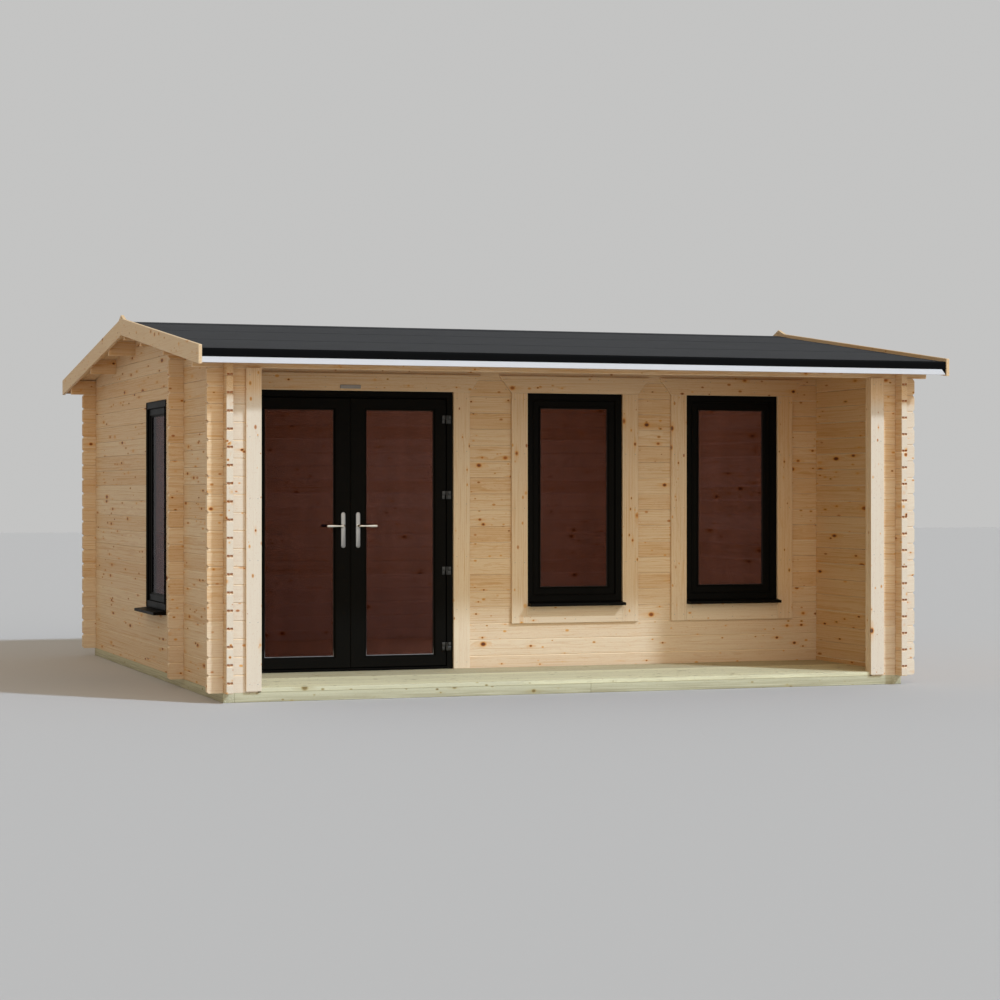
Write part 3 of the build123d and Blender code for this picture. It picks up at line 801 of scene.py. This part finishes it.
felt = felt_finish()
for name, side in (("front", -1), ("rear", 1)):
    low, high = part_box("roof_felt_" + name)
    eave = max(abs(low.y), abs(high.y)) - sheet_thick
    ridge = min(abs(low.y), abs(high.y))
    top = high.z + ridge * roof_slope
    reach = eave - ridge
    surface = []
    for course in range(sheet_courses):
        first = ridge + reach * course / sheet_courses
        last = ridge + reach * (course + 1) / sheet_courses
        rise = lap_rise if course < sheet_courses - 1 else 0.0
        surface += [(first, 0.0), (last - lap_taper, 0.0), (last, rise)]
    outline = [(side * far, top - far * roof_slope + lift) for far, lift in surface]
    outline += [(side * far, top - far * roof_slope - sheet_thick) for far in (eave, ridge)]
    shape = bmesh.new()
    add_run(shape, outline, low.x, high.x)
    settle(turn_outward(shape), "roof_sheet_" + name, felt, replaced=["roof_felt_" + name])
cap_fall = cap_reach * roof_slope
shape = bmesh.new()
outline = [(-cap_reach, top - cap_fall), (0.0, top), (cap_reach, top - cap_fall)]
outline += [(y, z + cap_thick) for y, z in reversed(outline)]
add_run(shape, outline, low.x, high.x)
settle(turn_outward(shape), "ridge_strip", felt)


# Eave edging: a black plastic trim that is turned over the edge of the roof sheet and down the
# fascia, with a round shoulder, and below it a white drip trim with mitred ends.
edging_lip = 0.050
edging_lift = 0.0025
edging_radius = 0.011
edging_steps = 6
drip_mitre = 0.06
drip_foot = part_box("drip_trims")[0].z
drip_easing = 0.0012
long_drip = 1.0
backing_thick = 0.0008
edging_black = (0.0035, 0.0035, 0.0036, 1.0)
drip_white = (0.66, 0.66, 0.67, 1.0)


def moulded_finish(name, colour, roughness, mottle, bending=1.2):
    """Moulded plastic: one colour with a faint texture from the die."""
    finish, tree, shader, surface = new_finish(name)
    soft = noise(tree, surface["Object"], 3.0, Scale=6.0)
    fine = noise(tree, surface["Object"], 1.0, Scale=700.0)
    deep = tuple(part * (1.0 - mottle) for part in colour[:3]) + (1.0,)
    feed(tree, shader, {
        "Base Color": tint(tree, soft, colour, deep), "IOR": bending,
        "Roughness": ranged(tree, soft, roughness - 0.05, roughness + 0.07),
        "Normal": bump_of(tree, fine, 0.12, 0.0003),
    })
    return finish


edging_finish = moulded_finish("black_eave_edging", edging_black, 0.5, 0.3, 1.1)
drip_finish = moulded_finish("white_drip_trim", drip_white, 0.4, 0.06, 1.4)
for name, side in (("front", -1), ("rear", 1)):
    low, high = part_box("roof_felt_" + name)
    face = max(abs(low.y), abs(high.y))
    foot = low.z
    shoulder = face - edging_radius
    level = top - shoulder * roof_slope + edging_lift
    outer = [(face - edging_lip, top - (face - edging_lip) * roof_slope + edging_lift)]
    for step in range(edging_steps + 1):
        turn = math.radians(90) * step / edging_steps
        out = shoulder + edging_radius * math.sin(turn)
        outer.append((out, level - edging_radius * (1 - math.cos(turn))))
    outer.append((face, foot))
    inner = [(face - sheet_thick, foot), (face - sheet_thick, level - edging_radius)]
    inner.append((shoulder - sheet_thick, level - edging_lift))
    inner.append((outer[0][0], outer[0][1] - edging_lift))
    shape = bmesh.new()
    add_run(shape, [(side * out, z) for out, z in outer + inner], low.x, high.x)
    backing = sorted((side * (face - sheet_thick), side * (face - sheet_thick + backing_thick)))
    add_block(shape, (high.x - drip_mitre, backing[0], drip_foot), (high.x, backing[1], foot))
    settle(turn_outward(shape), "eave_edging_" + name, edging_finish, smooth=True)
shape = node_shape("drip_trims")
for solid in separate_solids(shape):
    low, high = corners_of(solid)
    if high.x - low.x > long_drip:
        for vert in solid:
            if vert.co.x - low.x < drip_mitre:
                vert.co.x = low.x
ease_edges(shape, drip_easing)
settle(shape, "eave_drips", drip_finish, replaced=["drip_trims"])


# Windows: welded black plastic frames set into the logs, each with one fixed sash, sloping glazing
# beads with rubber gaskets, and a sealed double pane of tinted glass that lets the room show dimly.
# A sill with end caps sheds the rain.
window_face = 0.050
window_round = 0.005
sash_face = 0.042
sash_round = 0.004
sill_round = 0.003
round_steps = 4
bead_width = 0.017
bead_fall = 0.011
bead_lap = 0.002
bead_root = 0.004
bead_proud = 0.0006
gasket_width = 0.004
gasket_lap = 0.001
gasket_rise = 0.0025
pane_half = 0.012
pane_play = 0.0005
sheet_glass = 0.004
spacer_width = 0.012
plastic_black = (0.0058, 0.0052, 0.0041, 1.0)
gasket_black = (0.022, 0.022, 0.021, 1.0)
# Painted light: the grey of the lowest gaskets, where the light falls on them.
gasket_lit_grey = (0.20, 0.197, 0.19, 1.0)
spacer_grey = (0.05, 0.05, 0.052, 1.0)
glass_deep = (0.375, 0.309, 0.359, 1.0)
glass_tint = (0.393, 0.323, 0.376, 1.0)


def solid_boxes(node):
    """Lowest and highest corner of each solid of a CAD node."""
    shape = node_shape(node)
    boxes = [corners_of(solid) for solid in separate_solids(shape)]
    shape.free()
    return boxes


def facing(low, high):
    """Width, height and depth of a framed opening, and where its own measures lie in the cabin."""
    size = high - low

    def place(across, inward, up):
        """A point of the opening in the cabin's frame."""
        if size.x > size.y:
            return low.x + across, low.y + inward, low.z + up
        return low.x + inward, high.y - across, low.z + up

    return max(size.x, size.y), size.z, min(size.x, size.y), place


def rectangle(shape, place, span, inset, inward):
    """Four vertices round a rectangle, set in from its edges."""
    left, right, foot, head = span
    corners = (
        (left + inset, foot + inset), (right - inset, foot + inset),
        (right - inset, head - inset), (left + inset, head - inset),
    )
    return [shape.verts.new(place(across, inward, up)) for across, up in corners]


def add_ring(shape, place, span, profile):
    """A frame with joined corners: a closed profile of (inset, inward) carried round a rectangle."""
    loops = [rectangle(shape, place, span, inset, inward) for inset, inward in profile]
    stitch(shape, loops, ring=True)


def add_panel(shape, place, span, near, far):
    """A plain sheet between two depths."""
    stitch(shape, [rectangle(shape, place, span, 0.0, inward) for inward in (near, far)])


def quarter_round(radius):
    """Points of a quarter round as (inset, inward)."""
    turns = [math.radians(90) * step / round_steps for step in range(round_steps + 1)]
    return [(radius * (1 - math.cos(turn)), radius * (1 - math.sin(turn))) for turn in turns]


def eased_profile(width, depth, radius):
    """Section of a frame bar with a rounded lip along both edges of its face."""
    lip = quarter_round(radius)
    far_lip = [(width - inset, inward) for inset, inward in lip]
    return [(0.0, depth)] + lip[::-1] + far_lip + [(width, depth)]


def glaze(groups, place, opening, depth):
    """Beads that slope down to the glass, gaskets, a double pane and the spacer between its sheets."""
    beads, gaskets, panes, spacers = groups
    front, back = depth / 2 - pane_half, depth / 2 + pane_half
    foot = bead_width - gasket_width
    bead = [(-bead_lap, bead_root), (-bead_lap, -bead_proud), (bead_lap, -bead_proud)]
    bead += [(foot, bead_fall), (foot, front), (-bead_lap, front)]
    add_ring(beads, place, opening, bead)
    lip = [(foot, front), (foot, bead_fall - gasket_lap)]
    lip += [(foot + gasket_width, front - gasket_rise), (foot + gasket_width, front)]
    add_ring(gaskets, place, opening, lip)
    left, right, low_edge, top_edge = opening
    inside = (left + pane_play, right - pane_play, low_edge + pane_play, top_edge - pane_play)
    near, far = front + sheet_glass, back - sheet_glass
    add_panel(panes, place, inside, front, near)
    add_panel(panes, place, inside, far, back)
    add_ring(spacers, place, inside, [(0.0, near), (spacer_width, near), (spacer_width, far), (0.0, far)])


def glass_finish():
    """Sealed glass with a dark plum tint."""
    finish, tree, shader, surface = new_finish("tinted_glass")
    film = noise(tree, stretch(tree, surface["Object"], (2.2, 2.2, 0.3)), 1.0)
    colour = tint(tree, slope_between(tree, film, 0.35, 0.70), glass_deep, glass_tint)
    feed(tree, shader, {"Base Color": colour, "Transmission Weight": 1.0, "Roughness": 0.0, "IOR": 1.04})
    return finish


def lit_low_rubber():
    """Black rubber, painted lighter grey in patches on its lowest runs at the foot of the doors, as painted
    light.
    """
    finish, tree, shader, surface = new_finish("glazing_gasket")
    height = wire(tree, "ShaderNodeSeparateXYZ", {"Vector": surface["Object"]}).outputs["Z"]
    low_down = slope_between(tree, height, 0.26, 0.19)
    patches = slope_between(tree, noise(tree, surface["Object"], 3.0, Scale=9.0), 0.1, 0.5)
    colour = tint(tree, product(tree, low_down, patches), gasket_black, gasket_lit_grey)
    feed(tree, shader, {"Base Color": colour, "Roughness": 0.7, "IOR": 1.2})
    return finish


plastic_finish = moulded_finish("black_foiled_plastic", plastic_black, 0.42, 0.25, 1.1)
gasket_finish = lit_low_rubber()
spacer_finish = moulded_finish("pane_spacer", spacer_grey, 0.45, 0.2)
glass = glass_finish()


def settle_plastic(shape, name, body="cabin", replaced=(), finish=plastic_finish):
    """Turns welded or moulded plastic into a finished piece."""
    settle(turn_outward(shape), name, finish, body, replaced)


def settle_glazing(groups, names, body, pane_node):
    """Turns the groups of a glazed opening into finished pieces."""
    settle_plastic(groups[0], names[0], body)
    settle_plastic(groups[1], names[1], body, finish=gasket_finish)
    settle(turn_outward(groups[2]), names[2], glass, body, [pane_node])
    settle_plastic(groups[3], names[3], body, finish=spacer_finish)


frames, sashes, *glazing = (bmesh.new() for group in range(6))
for low, high in solid_boxes("window_frames"):
    width, height, depth, place = facing(low, high)
    add_ring(frames, place, (0.0, width, 0.0, height), eased_profile(window_face, depth, window_round))
for low, high in solid_boxes("window_sashes"):
    width, height, depth, place = facing(low, high)
    add_ring(sashes, place, (0.0, width, 0.0, height), eased_profile(sash_face, depth, sash_round))
    opening = (sash_face, width - sash_face, sash_face, height - sash_face)
    glaze(glazing, place, opening, depth)
settle_plastic(frames, "window_outer_frames", replaced=["window_frames"])
settle_plastic(sashes, "window_sash_bars", replaced=["window_sashes"])
names = ("window_beads", "window_gaskets", "window_glass", "window_pane_spacers")
settle_glazing(glazing, names, "cabin", "window_panes")
shape = node_shape("window_sills")
ease_edges(shape, sill_round, 3)
settle(shape, "window_sill_boards", plastic_finish, replaced=["window_sills"])


# Window and door trims: 120 mm planed boards round each opening, with a wider head board whose
# ends are cut on the slant. Nailed to the logs.
dressed_boards("window_surrounds", casing_finish, 51, "window_trim_middle", "window_trim_right")
dressed_boards("door_surround", casing_finish, 52, "door_trim")


# French doors: two welded black plastic leaves in a frame with a rebate, each with a full-height
# double pane held by sloping beads. They open outwards on four flag hinges,
# and a lip on each leaf narrows the gap between them.
door_round = 0.004
leaf_face = 0.100
hinge_face = 0.075
rail_face = 0.067
frame_face = 0.045
stop_face = 0.065
stop_depth = 0.013
seal_near = 0.005
seal_far = 0.011
seal_root = 0.0005
seal_proud = 0.0026


def add_leaf_bars(shape, place, outer, inner, depth):
    """The four bars of a leaf between two rectangles, with rounded edges on the outer face."""
    rounds = quarter_round(door_round)
    levels = [(outer, 0.0, depth)] + [(outer, inset, inward) for inset, inward in rounds]
    levels += [(inner, -inset, inward) for inset, inward in reversed(rounds)] + [(inner, 0.0, depth)]
    loops = [rectangle(shape, place, span, inset, inward) for span, inset, inward in levels]
    stitch(shape, loops, ring=True)


width, height, depth, place = facing(door_low, door_high)
door_profile = eased_profile(frame_face, depth, door_round)[:-1]
door_profile += [(frame_face, depth - stop_depth), (stop_face, depth - stop_depth), (stop_face, depth)]
shape = bmesh.new()
add_ring(shape, place, (0.0, width, 0.0, height), door_profile)
settle_plastic(shape, "door_outer_frame", replaced=["door_frame"])
for hand in ("left", "right"):
    body = hand + "_leaf"
    leaf_low, leaf_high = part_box(hand + "_door")
    width, height, depth, place = facing(leaf_low, leaf_high)
    left_stile, right_stile = (hinge_face, leaf_face) if hand == "left" else (leaf_face, hinge_face)
    opening = (left_stile, width - right_stile, rail_face, height - rail_face)
    bars, seal, *glazing = (bmesh.new() for group in range(6))
    add_leaf_bars(bars, place, (0.0, width, 0.0, height), opening, depth)
    settle_plastic(bars, hand + "_leaf_bars", body, [hand + "_door"])
    glaze(glazing, place, opening, depth)
    names = [hand + "_leaf_" + part for part in ("beads", "gasket", "glass", "spacer")]
    settle_glazing(glazing, names, body, hand + "_door_pane")
    meeting_edge, way = (leaf_high.x, 1) if hand == "left" else (leaf_low.x, -1)
    across = sorted((meeting_edge - way * seal_root, meeting_edge + way * seal_proud))
    seal_low = (across[0], leaf_low.y + seal_near, leaf_low.z)
    seal_high = (across[1], leaf_low.y + seal_far, leaf_high.z)
    add_block(seal, seal_low, seal_high)
    settle(seal, hand + "_meeting_seal", plastic_finish, body)


# Door hinges: dark flag hinges in two halves, one on the frame and one on the leaf, each with a
# flag beside its barrel and a cover plate on past it. Cast metal with a satin coat, screwed through.
hinge_grey = (0.030, 0.030, 0.029, 1.0)
hinge_light = (0.075, 0.075, 0.072, 1.0)
hinge_arris = 0.0016
cover_from_axis = 0.013
cover_gap = 0.0015
flag_thick = 0.005


def metal_finish(name, colour, worn, roughness):
    """Satin metal with fine brush marks and lighter worn patches."""
    finish, tree, shader, surface = new_finish(name)
    brush = noise(tree, stretch(tree, surface["Object"], (40.0, 40.0, 600.0)), 2.0)
    soft = noise(tree, surface["Object"], 3.0, Scale=30.0)
    feed(tree, shader, {
        "Base Color": tint(tree, soft, colour, worn), "Metallic": 1.0,
        "Roughness": ranged(tree, brush, roughness - 0.08, roughness + 0.1),
        "Normal": bump_of(tree, brush, 0.1, 0.0002),
    })
    return finish


hinge_finish = metal_finish("satin_hinge_metal", hinge_grey, hinge_light, 0.36)
joints = frame["record"]["behaviour"]["joints"]
hinge_axes = [joint["pos_m"][0] for joint in joints if "swing" in joint["name"]]
for name, node, body in (
    ("hinge_halves_on_frame", "frame_hinges", "cabin"),
    ("hinge_halves_on_left_leaf", "left_door_hinges", "left_leaf"),
    ("hinge_halves_on_right_leaf", "right_door_hinges", "right_leaf"),
):
    shape = node_shape(node)
    for low, high in [corners_of(solid) for solid in separate_solids(shape)]:
        axis_x = min(hinge_axes, key=lambda x: min(abs(low.x - x), abs(high.x - x)))
        flag_end = high.x if high.x - axis_x > axis_x - low.x else low.x
        way = 1 if flag_end > axis_x else -1
        tall = high.z - low.z
        foot = low.z + tall + cover_gap if body == "cabin" else low.z - tall
        across = sorted((axis_x + way * cover_from_axis, flag_end))
        cover_low = (across[0], high.y - flag_thick, foot)
        add_block(shape, cover_low, (across[1], high.y, foot + tall - cover_gap))
    ease_edges(shape, hinge_arris)
    settle(shape, name, hinge_finish, body, [node], smooth=True)


# Lever handles: long round-ended backplates screwed to both faces of each leaf, and a bent lever
# on a spindle. Satin stainless steel.
steel_pale = (0.27, 0.268, 0.262, 1.0)
steel_light = (0.335, 0.33, 0.322, 1.0)
lever_pale = (0.66, 0.645, 0.61, 1.0)
lever_light = (0.78, 0.765, 0.73, 1.0)
plate_round = 0.003
plate_slim = 0.0012
plate_steps = 10
plate_levels = ((0.0, 1.0), (0.0, 0.35), (0.001, 0.1), (plate_round, 0.0))
leaf_middle = -1.15
lever_bend = 0.016
lever_sides = 16
bend_steps = 6
lever_inset = 0.006
grip_levels = (
    (0.30, 0.0070, 0.0058), (0.50, 0.0085, 0.0060), (0.75, 0.0100, 0.0060), (0.92, 0.0100, 0.0060),
    (0.97, 0.0086, 0.0052), (0.993, 0.0055, 0.0034), (1.0, 0.0015, 0.001),
)
neck_radius = 0.009
collar_radius = 0.0128
collar_thick = 0.0035
collar_easing = 0.001
collar_gap = 0.0004
steel_finish = metal_finish("satin_steel", steel_pale, steel_light, 0.34)
lever_finish = metal_finish("polished_steel", lever_pale, lever_light, 0.24)


def add_plate(shape, low, high):
    """A backplate with half-round ends and an eased front edge."""
    radius = (high.x - low.x) / 2 - plate_slim
    middle = (high.x + low.x) / 2
    outline = []
    for centre, start in ((high.z - plate_slim - radius, 0.0), (low.z + plate_slim + radius, math.pi)):
        for step in range(plate_steps + 1):
            turn = start + math.pi * step / plate_steps
            outline.append((math.cos(turn), centre, math.sin(turn)))
    outer = low.y < leaf_middle
    loops = []
    for inset, share in plate_levels:
        y = low.y + share * (high.y - low.y) if outer else high.y - share * (high.y - low.y)
        reach = radius - inset
        loops.append([shape.verts.new((middle + reach * c, y, z + reach * s)) for c, z, s in outline])
    stitch(shape, loops)


def add_lever(shape, pivot, reach_y, tip_x):
    """A lever: a round neck that bends into a flattened grip with a round end."""
    way = 1 if tip_x > pivot.x else -1
    out = -1 if reach_y < pivot.y else 1
    collar = (
        (0.0, collar_radius), (0.7 * collar_thick, collar_radius),
        (collar_thick, collar_radius - collar_easing), (collar_thick, neck_radius),
    )
    stations = []
    for rise, radius in collar:
        stations.append((pivot + Vector((0.0, out * rise, 0.0)), (0.0, out, 0.0), radius, radius))
    turn_start = Vector((pivot.x, reach_y - out * lever_bend, pivot.z))
    centre = turn_start + Vector((way * lever_bend, 0.0, 0.0))
    for step in range(bend_steps + 1):
        turn = math.radians(90) * step / bend_steps
        offset = Vector((-way * math.cos(turn) * lever_bend, out * math.sin(turn) * lever_bend, 0.0))
        heading = (way * math.sin(turn), out * math.cos(turn), 0.0)
        share = step / bend_steps
        stations.append((centre + offset, heading, neck_radius - 0.001 * share, neck_radius - 0.003 * share))
    length = abs(tip_x - pivot.x)
    for share, tall, thick in grip_levels:
        point = Vector((pivot.x + way * share * length, reach_y, pivot.z))
        stations.append((point, (way, 0.0, 0.0), tall, thick))
    loops = []
    for point, heading, tall, thick in stations:
        beside = Vector(heading).cross(Vector((0.0, 0.0, 1.0))).normalized()
        loop = []
        for index in range(lever_sides):
            turn = math.tau * index / lever_sides
            offset = beside * (thick * math.cos(turn)) + Vector((0.0, 0.0, tall * math.sin(turn)))
            loop.append(shape.verts.new(point + offset))
        loops.append(loop)
    stitch(shape, loops)


def settle_steel(shape, name, finish, body, node):
    """Turns the steel parts of a handle into a finished piece."""
    settle(turn_outward(shape), name, finish, body, [node], smooth=True)


for hand in ("left", "right"):
    plates, levers = bmesh.new(), bmesh.new()
    plate_boxes = solid_boxes(hand + "_handle_plates")
    for low, high in plate_boxes:
        add_plate(plates, low, high)
    settle_steel(plates, hand + "_backplates", steel_finish, hand + "_leaf", hand + "_handle_plates")
    low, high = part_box(hand + "_lever")
    pivot_x = high.x - neck_radius if hand == "left" else low.x + neck_radius
    tip_x = low.x if hand == "left" else high.x
    level = (low.z + high.z) / 2
    outer_face = min(box[0].y for box in plate_boxes)
    inner_face = max(box[1].y for box in plate_boxes)
    add_lever(levers, Vector((pivot_x, outer_face - collar_gap, level)), low.y + lever_inset, tip_x)
    add_lever(levers, Vector((pivot_x, inner_face + collar_gap, level)), high.y - lever_inset, tip_x)
    settle_steel(levers, hand + "_lever_pair", lever_finish, hand + "_handle", hand + "_lever")


# Bare plate over the doors: a small plate of dull grey metal, cut from sheet with eased edges.
# It lies flat on the head board and is screwed to it.
plate_left, plate_right = -1.299, -1.152
plate_foot, plate_head = 2.042, 2.067
plate_proud = 0.006
plate_easing = 0.0015
plate_grey = (0.30, 0.28, 0.25, 1.0)
plate_light = (0.36, 0.34, 0.31, 1.0)
head_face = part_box("door_trim")[0].y
plate_finish = metal_finish("dull_grey_plate", plate_grey, plate_light, 0.5)
shape = bmesh.new()
add_block(shape, (plate_left, head_face - plate_proud, plate_foot), (plate_right, head_face, plate_head))
ease_edges(shape, plate_easing)
settle(shape, "head_plate", plate_finish)


# Fixings: wire nails through the casings and trims, and dome-headed screws through the bargeboards
# into the purlin ends. Bright zinc, driven just proud of the wood.
nail_radius = 0.0026
nail_proud = 0.0010
nail_sides = 10
nail_spacing = 0.40
nail_inset = 0.024
nail_from_end = 0.045
nail_root = 0.002
screw_spread = 0.030
screw_from_end = 0.06
fixing_seed = 60
zinc_grey = (0.22, 0.21, 0.19, 1.0)
zinc_light = (0.38, 0.37, 0.34, 1.0)


def fixing_tree():
    """Geometry nodes that set a fixing on each point of a mesh, turned to its face and spun at random."""
    tree, given = new_tree("Fixings", {
        "Geometry": "Geometry", "Fixing": "Object", "Facing": "Vector", "Seed": "Int", "Finish": "Material",
    })
    fixing = wire(tree, "GeometryNodeObjectInfo", {"Object": given["Fixing"]}).outputs["Geometry"]
    placing = {"Points": given["Geometry"], "Instance": fixing, "Rotation": given["Facing"]}
    placed = wire(tree, "GeometryNodeInstanceOnPoints", placing).outputs[0]
    whole_turn = {2: 0.0, 3: math.tau, 8: given["Seed"]}
    spin = wire(tree, "FunctionNodeRandomValue", whole_turn, data_type="FLOAT").outputs[1]
    turn = wire(tree, "ShaderNodeCombineXYZ", {"Z": spin}).outputs[0]
    spun = wire(tree, "GeometryNodeRotateInstances", {"Instances": placed, "Rotation": turn})
    return close_tree(tree, spun.outputs[0], given["Finish"])


def nail_rows(boards, axis, outer):
    """Two rows of nails along each board, on the face towards one end of an axis."""
    points = []
    for low, high in boards:
        flat = [other for other in range(3) if other != axis]
        along = max(flat, key=lambda other: high[other] - low[other])
        across = [other for other in flat if other != along][0]
        length = high[along] - low[along]
        steps = max(1, round(length / nail_spacing))
        for step in range(steps + 1):
            for edge in (low[across] + nail_inset, high[across] - nail_inset):
                point = [0.0, 0.0, 0.0]
                point[axis] = low[axis] if outer < 0 else high[axis]
                point[across] = edge
                point[along] = low[along] + nail_from_end + (length - 2 * nail_from_end) * step / steps
                points.append(point)
    return points


fixings = fixing_tree()
nail_finish = metal_finish("bright_zinc", zinc_grey, zinc_light, 0.4)
head = bmesh.new()
head_levels = ((nail_radius, -nail_root), (nail_radius, 0.4 * nail_proud), (0.6 * nail_radius, nail_proud))
turns = [math.tau * step / nail_sides for step in range(nail_sides)]
rings = []
for reach, height in head_levels:
    rings.append([head.verts.new((reach * math.cos(turn), reach * math.sin(turn), height)) for turn in turns])
stitch(head, rings)
nail_head = place_object("nail_head", mesh_of(turn_outward(head), "nail_head"))

trim_nodes = ("window_trim_middle", "window_trim_right", "door_trim")
front_boards = [box for node in trim_nodes for box in solid_boxes(node)]
for node in ("corner_casing_left", "corner_casing_right"):
    front_boards.append(min(solid_boxes(node), key=lambda box: box[0].y))
nail_places = {"front_nails": (nail_rows(front_boards, 1, -1), (math.radians(90), 0.0, 0.0))}
purlin_rows = sorted({round((low.y + high.y) / 2, 4) for low, high in solid_boxes("roof_purlins")})
for hand, way in (("left", -1), ("right", 1)):
    points = []
    for name, side in (("front", -1), ("rear", 1)):
        low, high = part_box(f"bargeboard_{hand}_{name}")
        outer = low.x if way < 0 else high.x
        reach = max(abs(low.y), abs(high.y))
        tall = high.z - low.z - reach * roof_slope
        rows = [row for row in purlin_rows if row * side > 0.1]
        for row in [screw_from_end * side] + rows + [side * (reach - screw_from_end)]:
            middle = high.z - abs(row) * roof_slope - tall / 2
            points += [(outer, row, middle - screw_spread), (outer, row, middle + screw_spread)]
    nail_places[f"verge_screws_{hand}"] = (points, (0.0, math.radians(90) * way, 0.0))
for seed, (name, (points, turned)) in enumerate(nail_places.items()):
    spots = bpy.data.meshes.new(name)
    spots.from_pydata(points, [], [])
    values = {"Fixing": nail_head, "Facing": turned, "Seed": fixing_seed + seed, "Finish": nail_finish}
    settle(run_tree(fixings, spots, values), name, nail_finish, smooth=True)
bpy.data.objects.remove(nail_head)


# Studio: a pale floor, soft light from all round, a broad key light from the front right and a soft
# lamp in the room, by which the rear wall shows through the glass.
# The camera stands low in front of the left corner and looks level along the cabin.
floor_pale = (0.545, 0.53, 0.51, 1.0)
floor_reach = 60.0
floor_level = -0.0005
sky_light = (0.465, 0.42, 0.36, 1.0)
sky_seen = (0.55, 0.55, 0.545, 1.0)
scene = bpy.context.scene
floor_mesh = bpy.data.meshes.new("studio_floor")
corners = [(-1, -1), (1, -1), (1, 1), (-1, 1)]
spots = [(x * floor_reach, y * floor_reach, floor_level) for x, y in corners]
floor_mesh.from_pydata(spots, [], [(0, 1, 2, 3)])
studio_floor = place_object("studio_floor", floor_mesh)
floor_finish, tree, shader, surface = new_finish("pale_studio_floor")
feed(tree, shader, {"Base Color": floor_pale, "Roughness": 0.9})
floor_mesh.materials.append(floor_finish)

scene.view_settings.view_transform = "Standard"
sky = bpy.data.worlds.new("studio_light")
scene.world = sky
sky.use_nodes = True
tree = sky.node_tree
rays = wire(tree, "ShaderNodeLightPath").outputs
seen = sum_of(tree, "ADD", rays["Is Camera Ray"], rays["Is Glossy Ray"])
seen = sum_of(tree, "ADD", seen, rays["Is Transmission Ray"])
seen.node.use_clamp = True
feed(tree, tree.nodes["Background"], {"Color": tint(tree, seen, sky_light, sky_seen)})


def add_sun(name, energy, spread, colour, turn, fall):
    """A sun lamp, turned round from the front and tipped down by a fall."""
    lamp = bpy.data.lights.new(name, "SUN")
    lamp.energy = energy
    lamp.angle = math.radians(spread)
    lamp.color = colour
    level = math.cos(math.radians(fall))
    sideways = -math.sin(math.radians(turn)) * level
    inward = math.cos(math.radians(turn)) * level
    way = Vector((sideways, inward, -math.sin(math.radians(fall))))
    place_object(name, lamp).rotation_euler = way.to_track_quat("-Z", "Y").to_euler()


add_sun("key_light", energy=1.98, spread=4.0, colour=(0.80, 1.0, 1.27), turn=41, fall=40)
add_sun("fill_light", energy=1.12, spread=75, colour=(1.0, 0.92, 0.80), turn=2, fall=15)

room = bpy.data.lights.new("room_light", "POINT")
room.energy = 43.0
room.shadow_soft_size = 0.4
room.color = (0.96, 0.98, 1.0)
room_lamp = place_object("room_light", room)
room_lamp.location = (0.5, 0.6, 1.4)
room_lamp.visible_camera = False
room_lamp.visible_glossy = False
room_lamp.visible_transmission = False

lens = bpy.data.cameras.new("photo_camera")
lens.lens = 88.917
lens.sensor_width = 36.0
lens.shift_y = -0.01025
lens.clip_end = 300.0
camera = place_object("photo_camera", lens)
camera.location = (-5.7806, -17.653, 1.3425)
camera.rotation_euler = (math.radians(90), 0.0, math.radians(-18.925))
scene.camera = camera
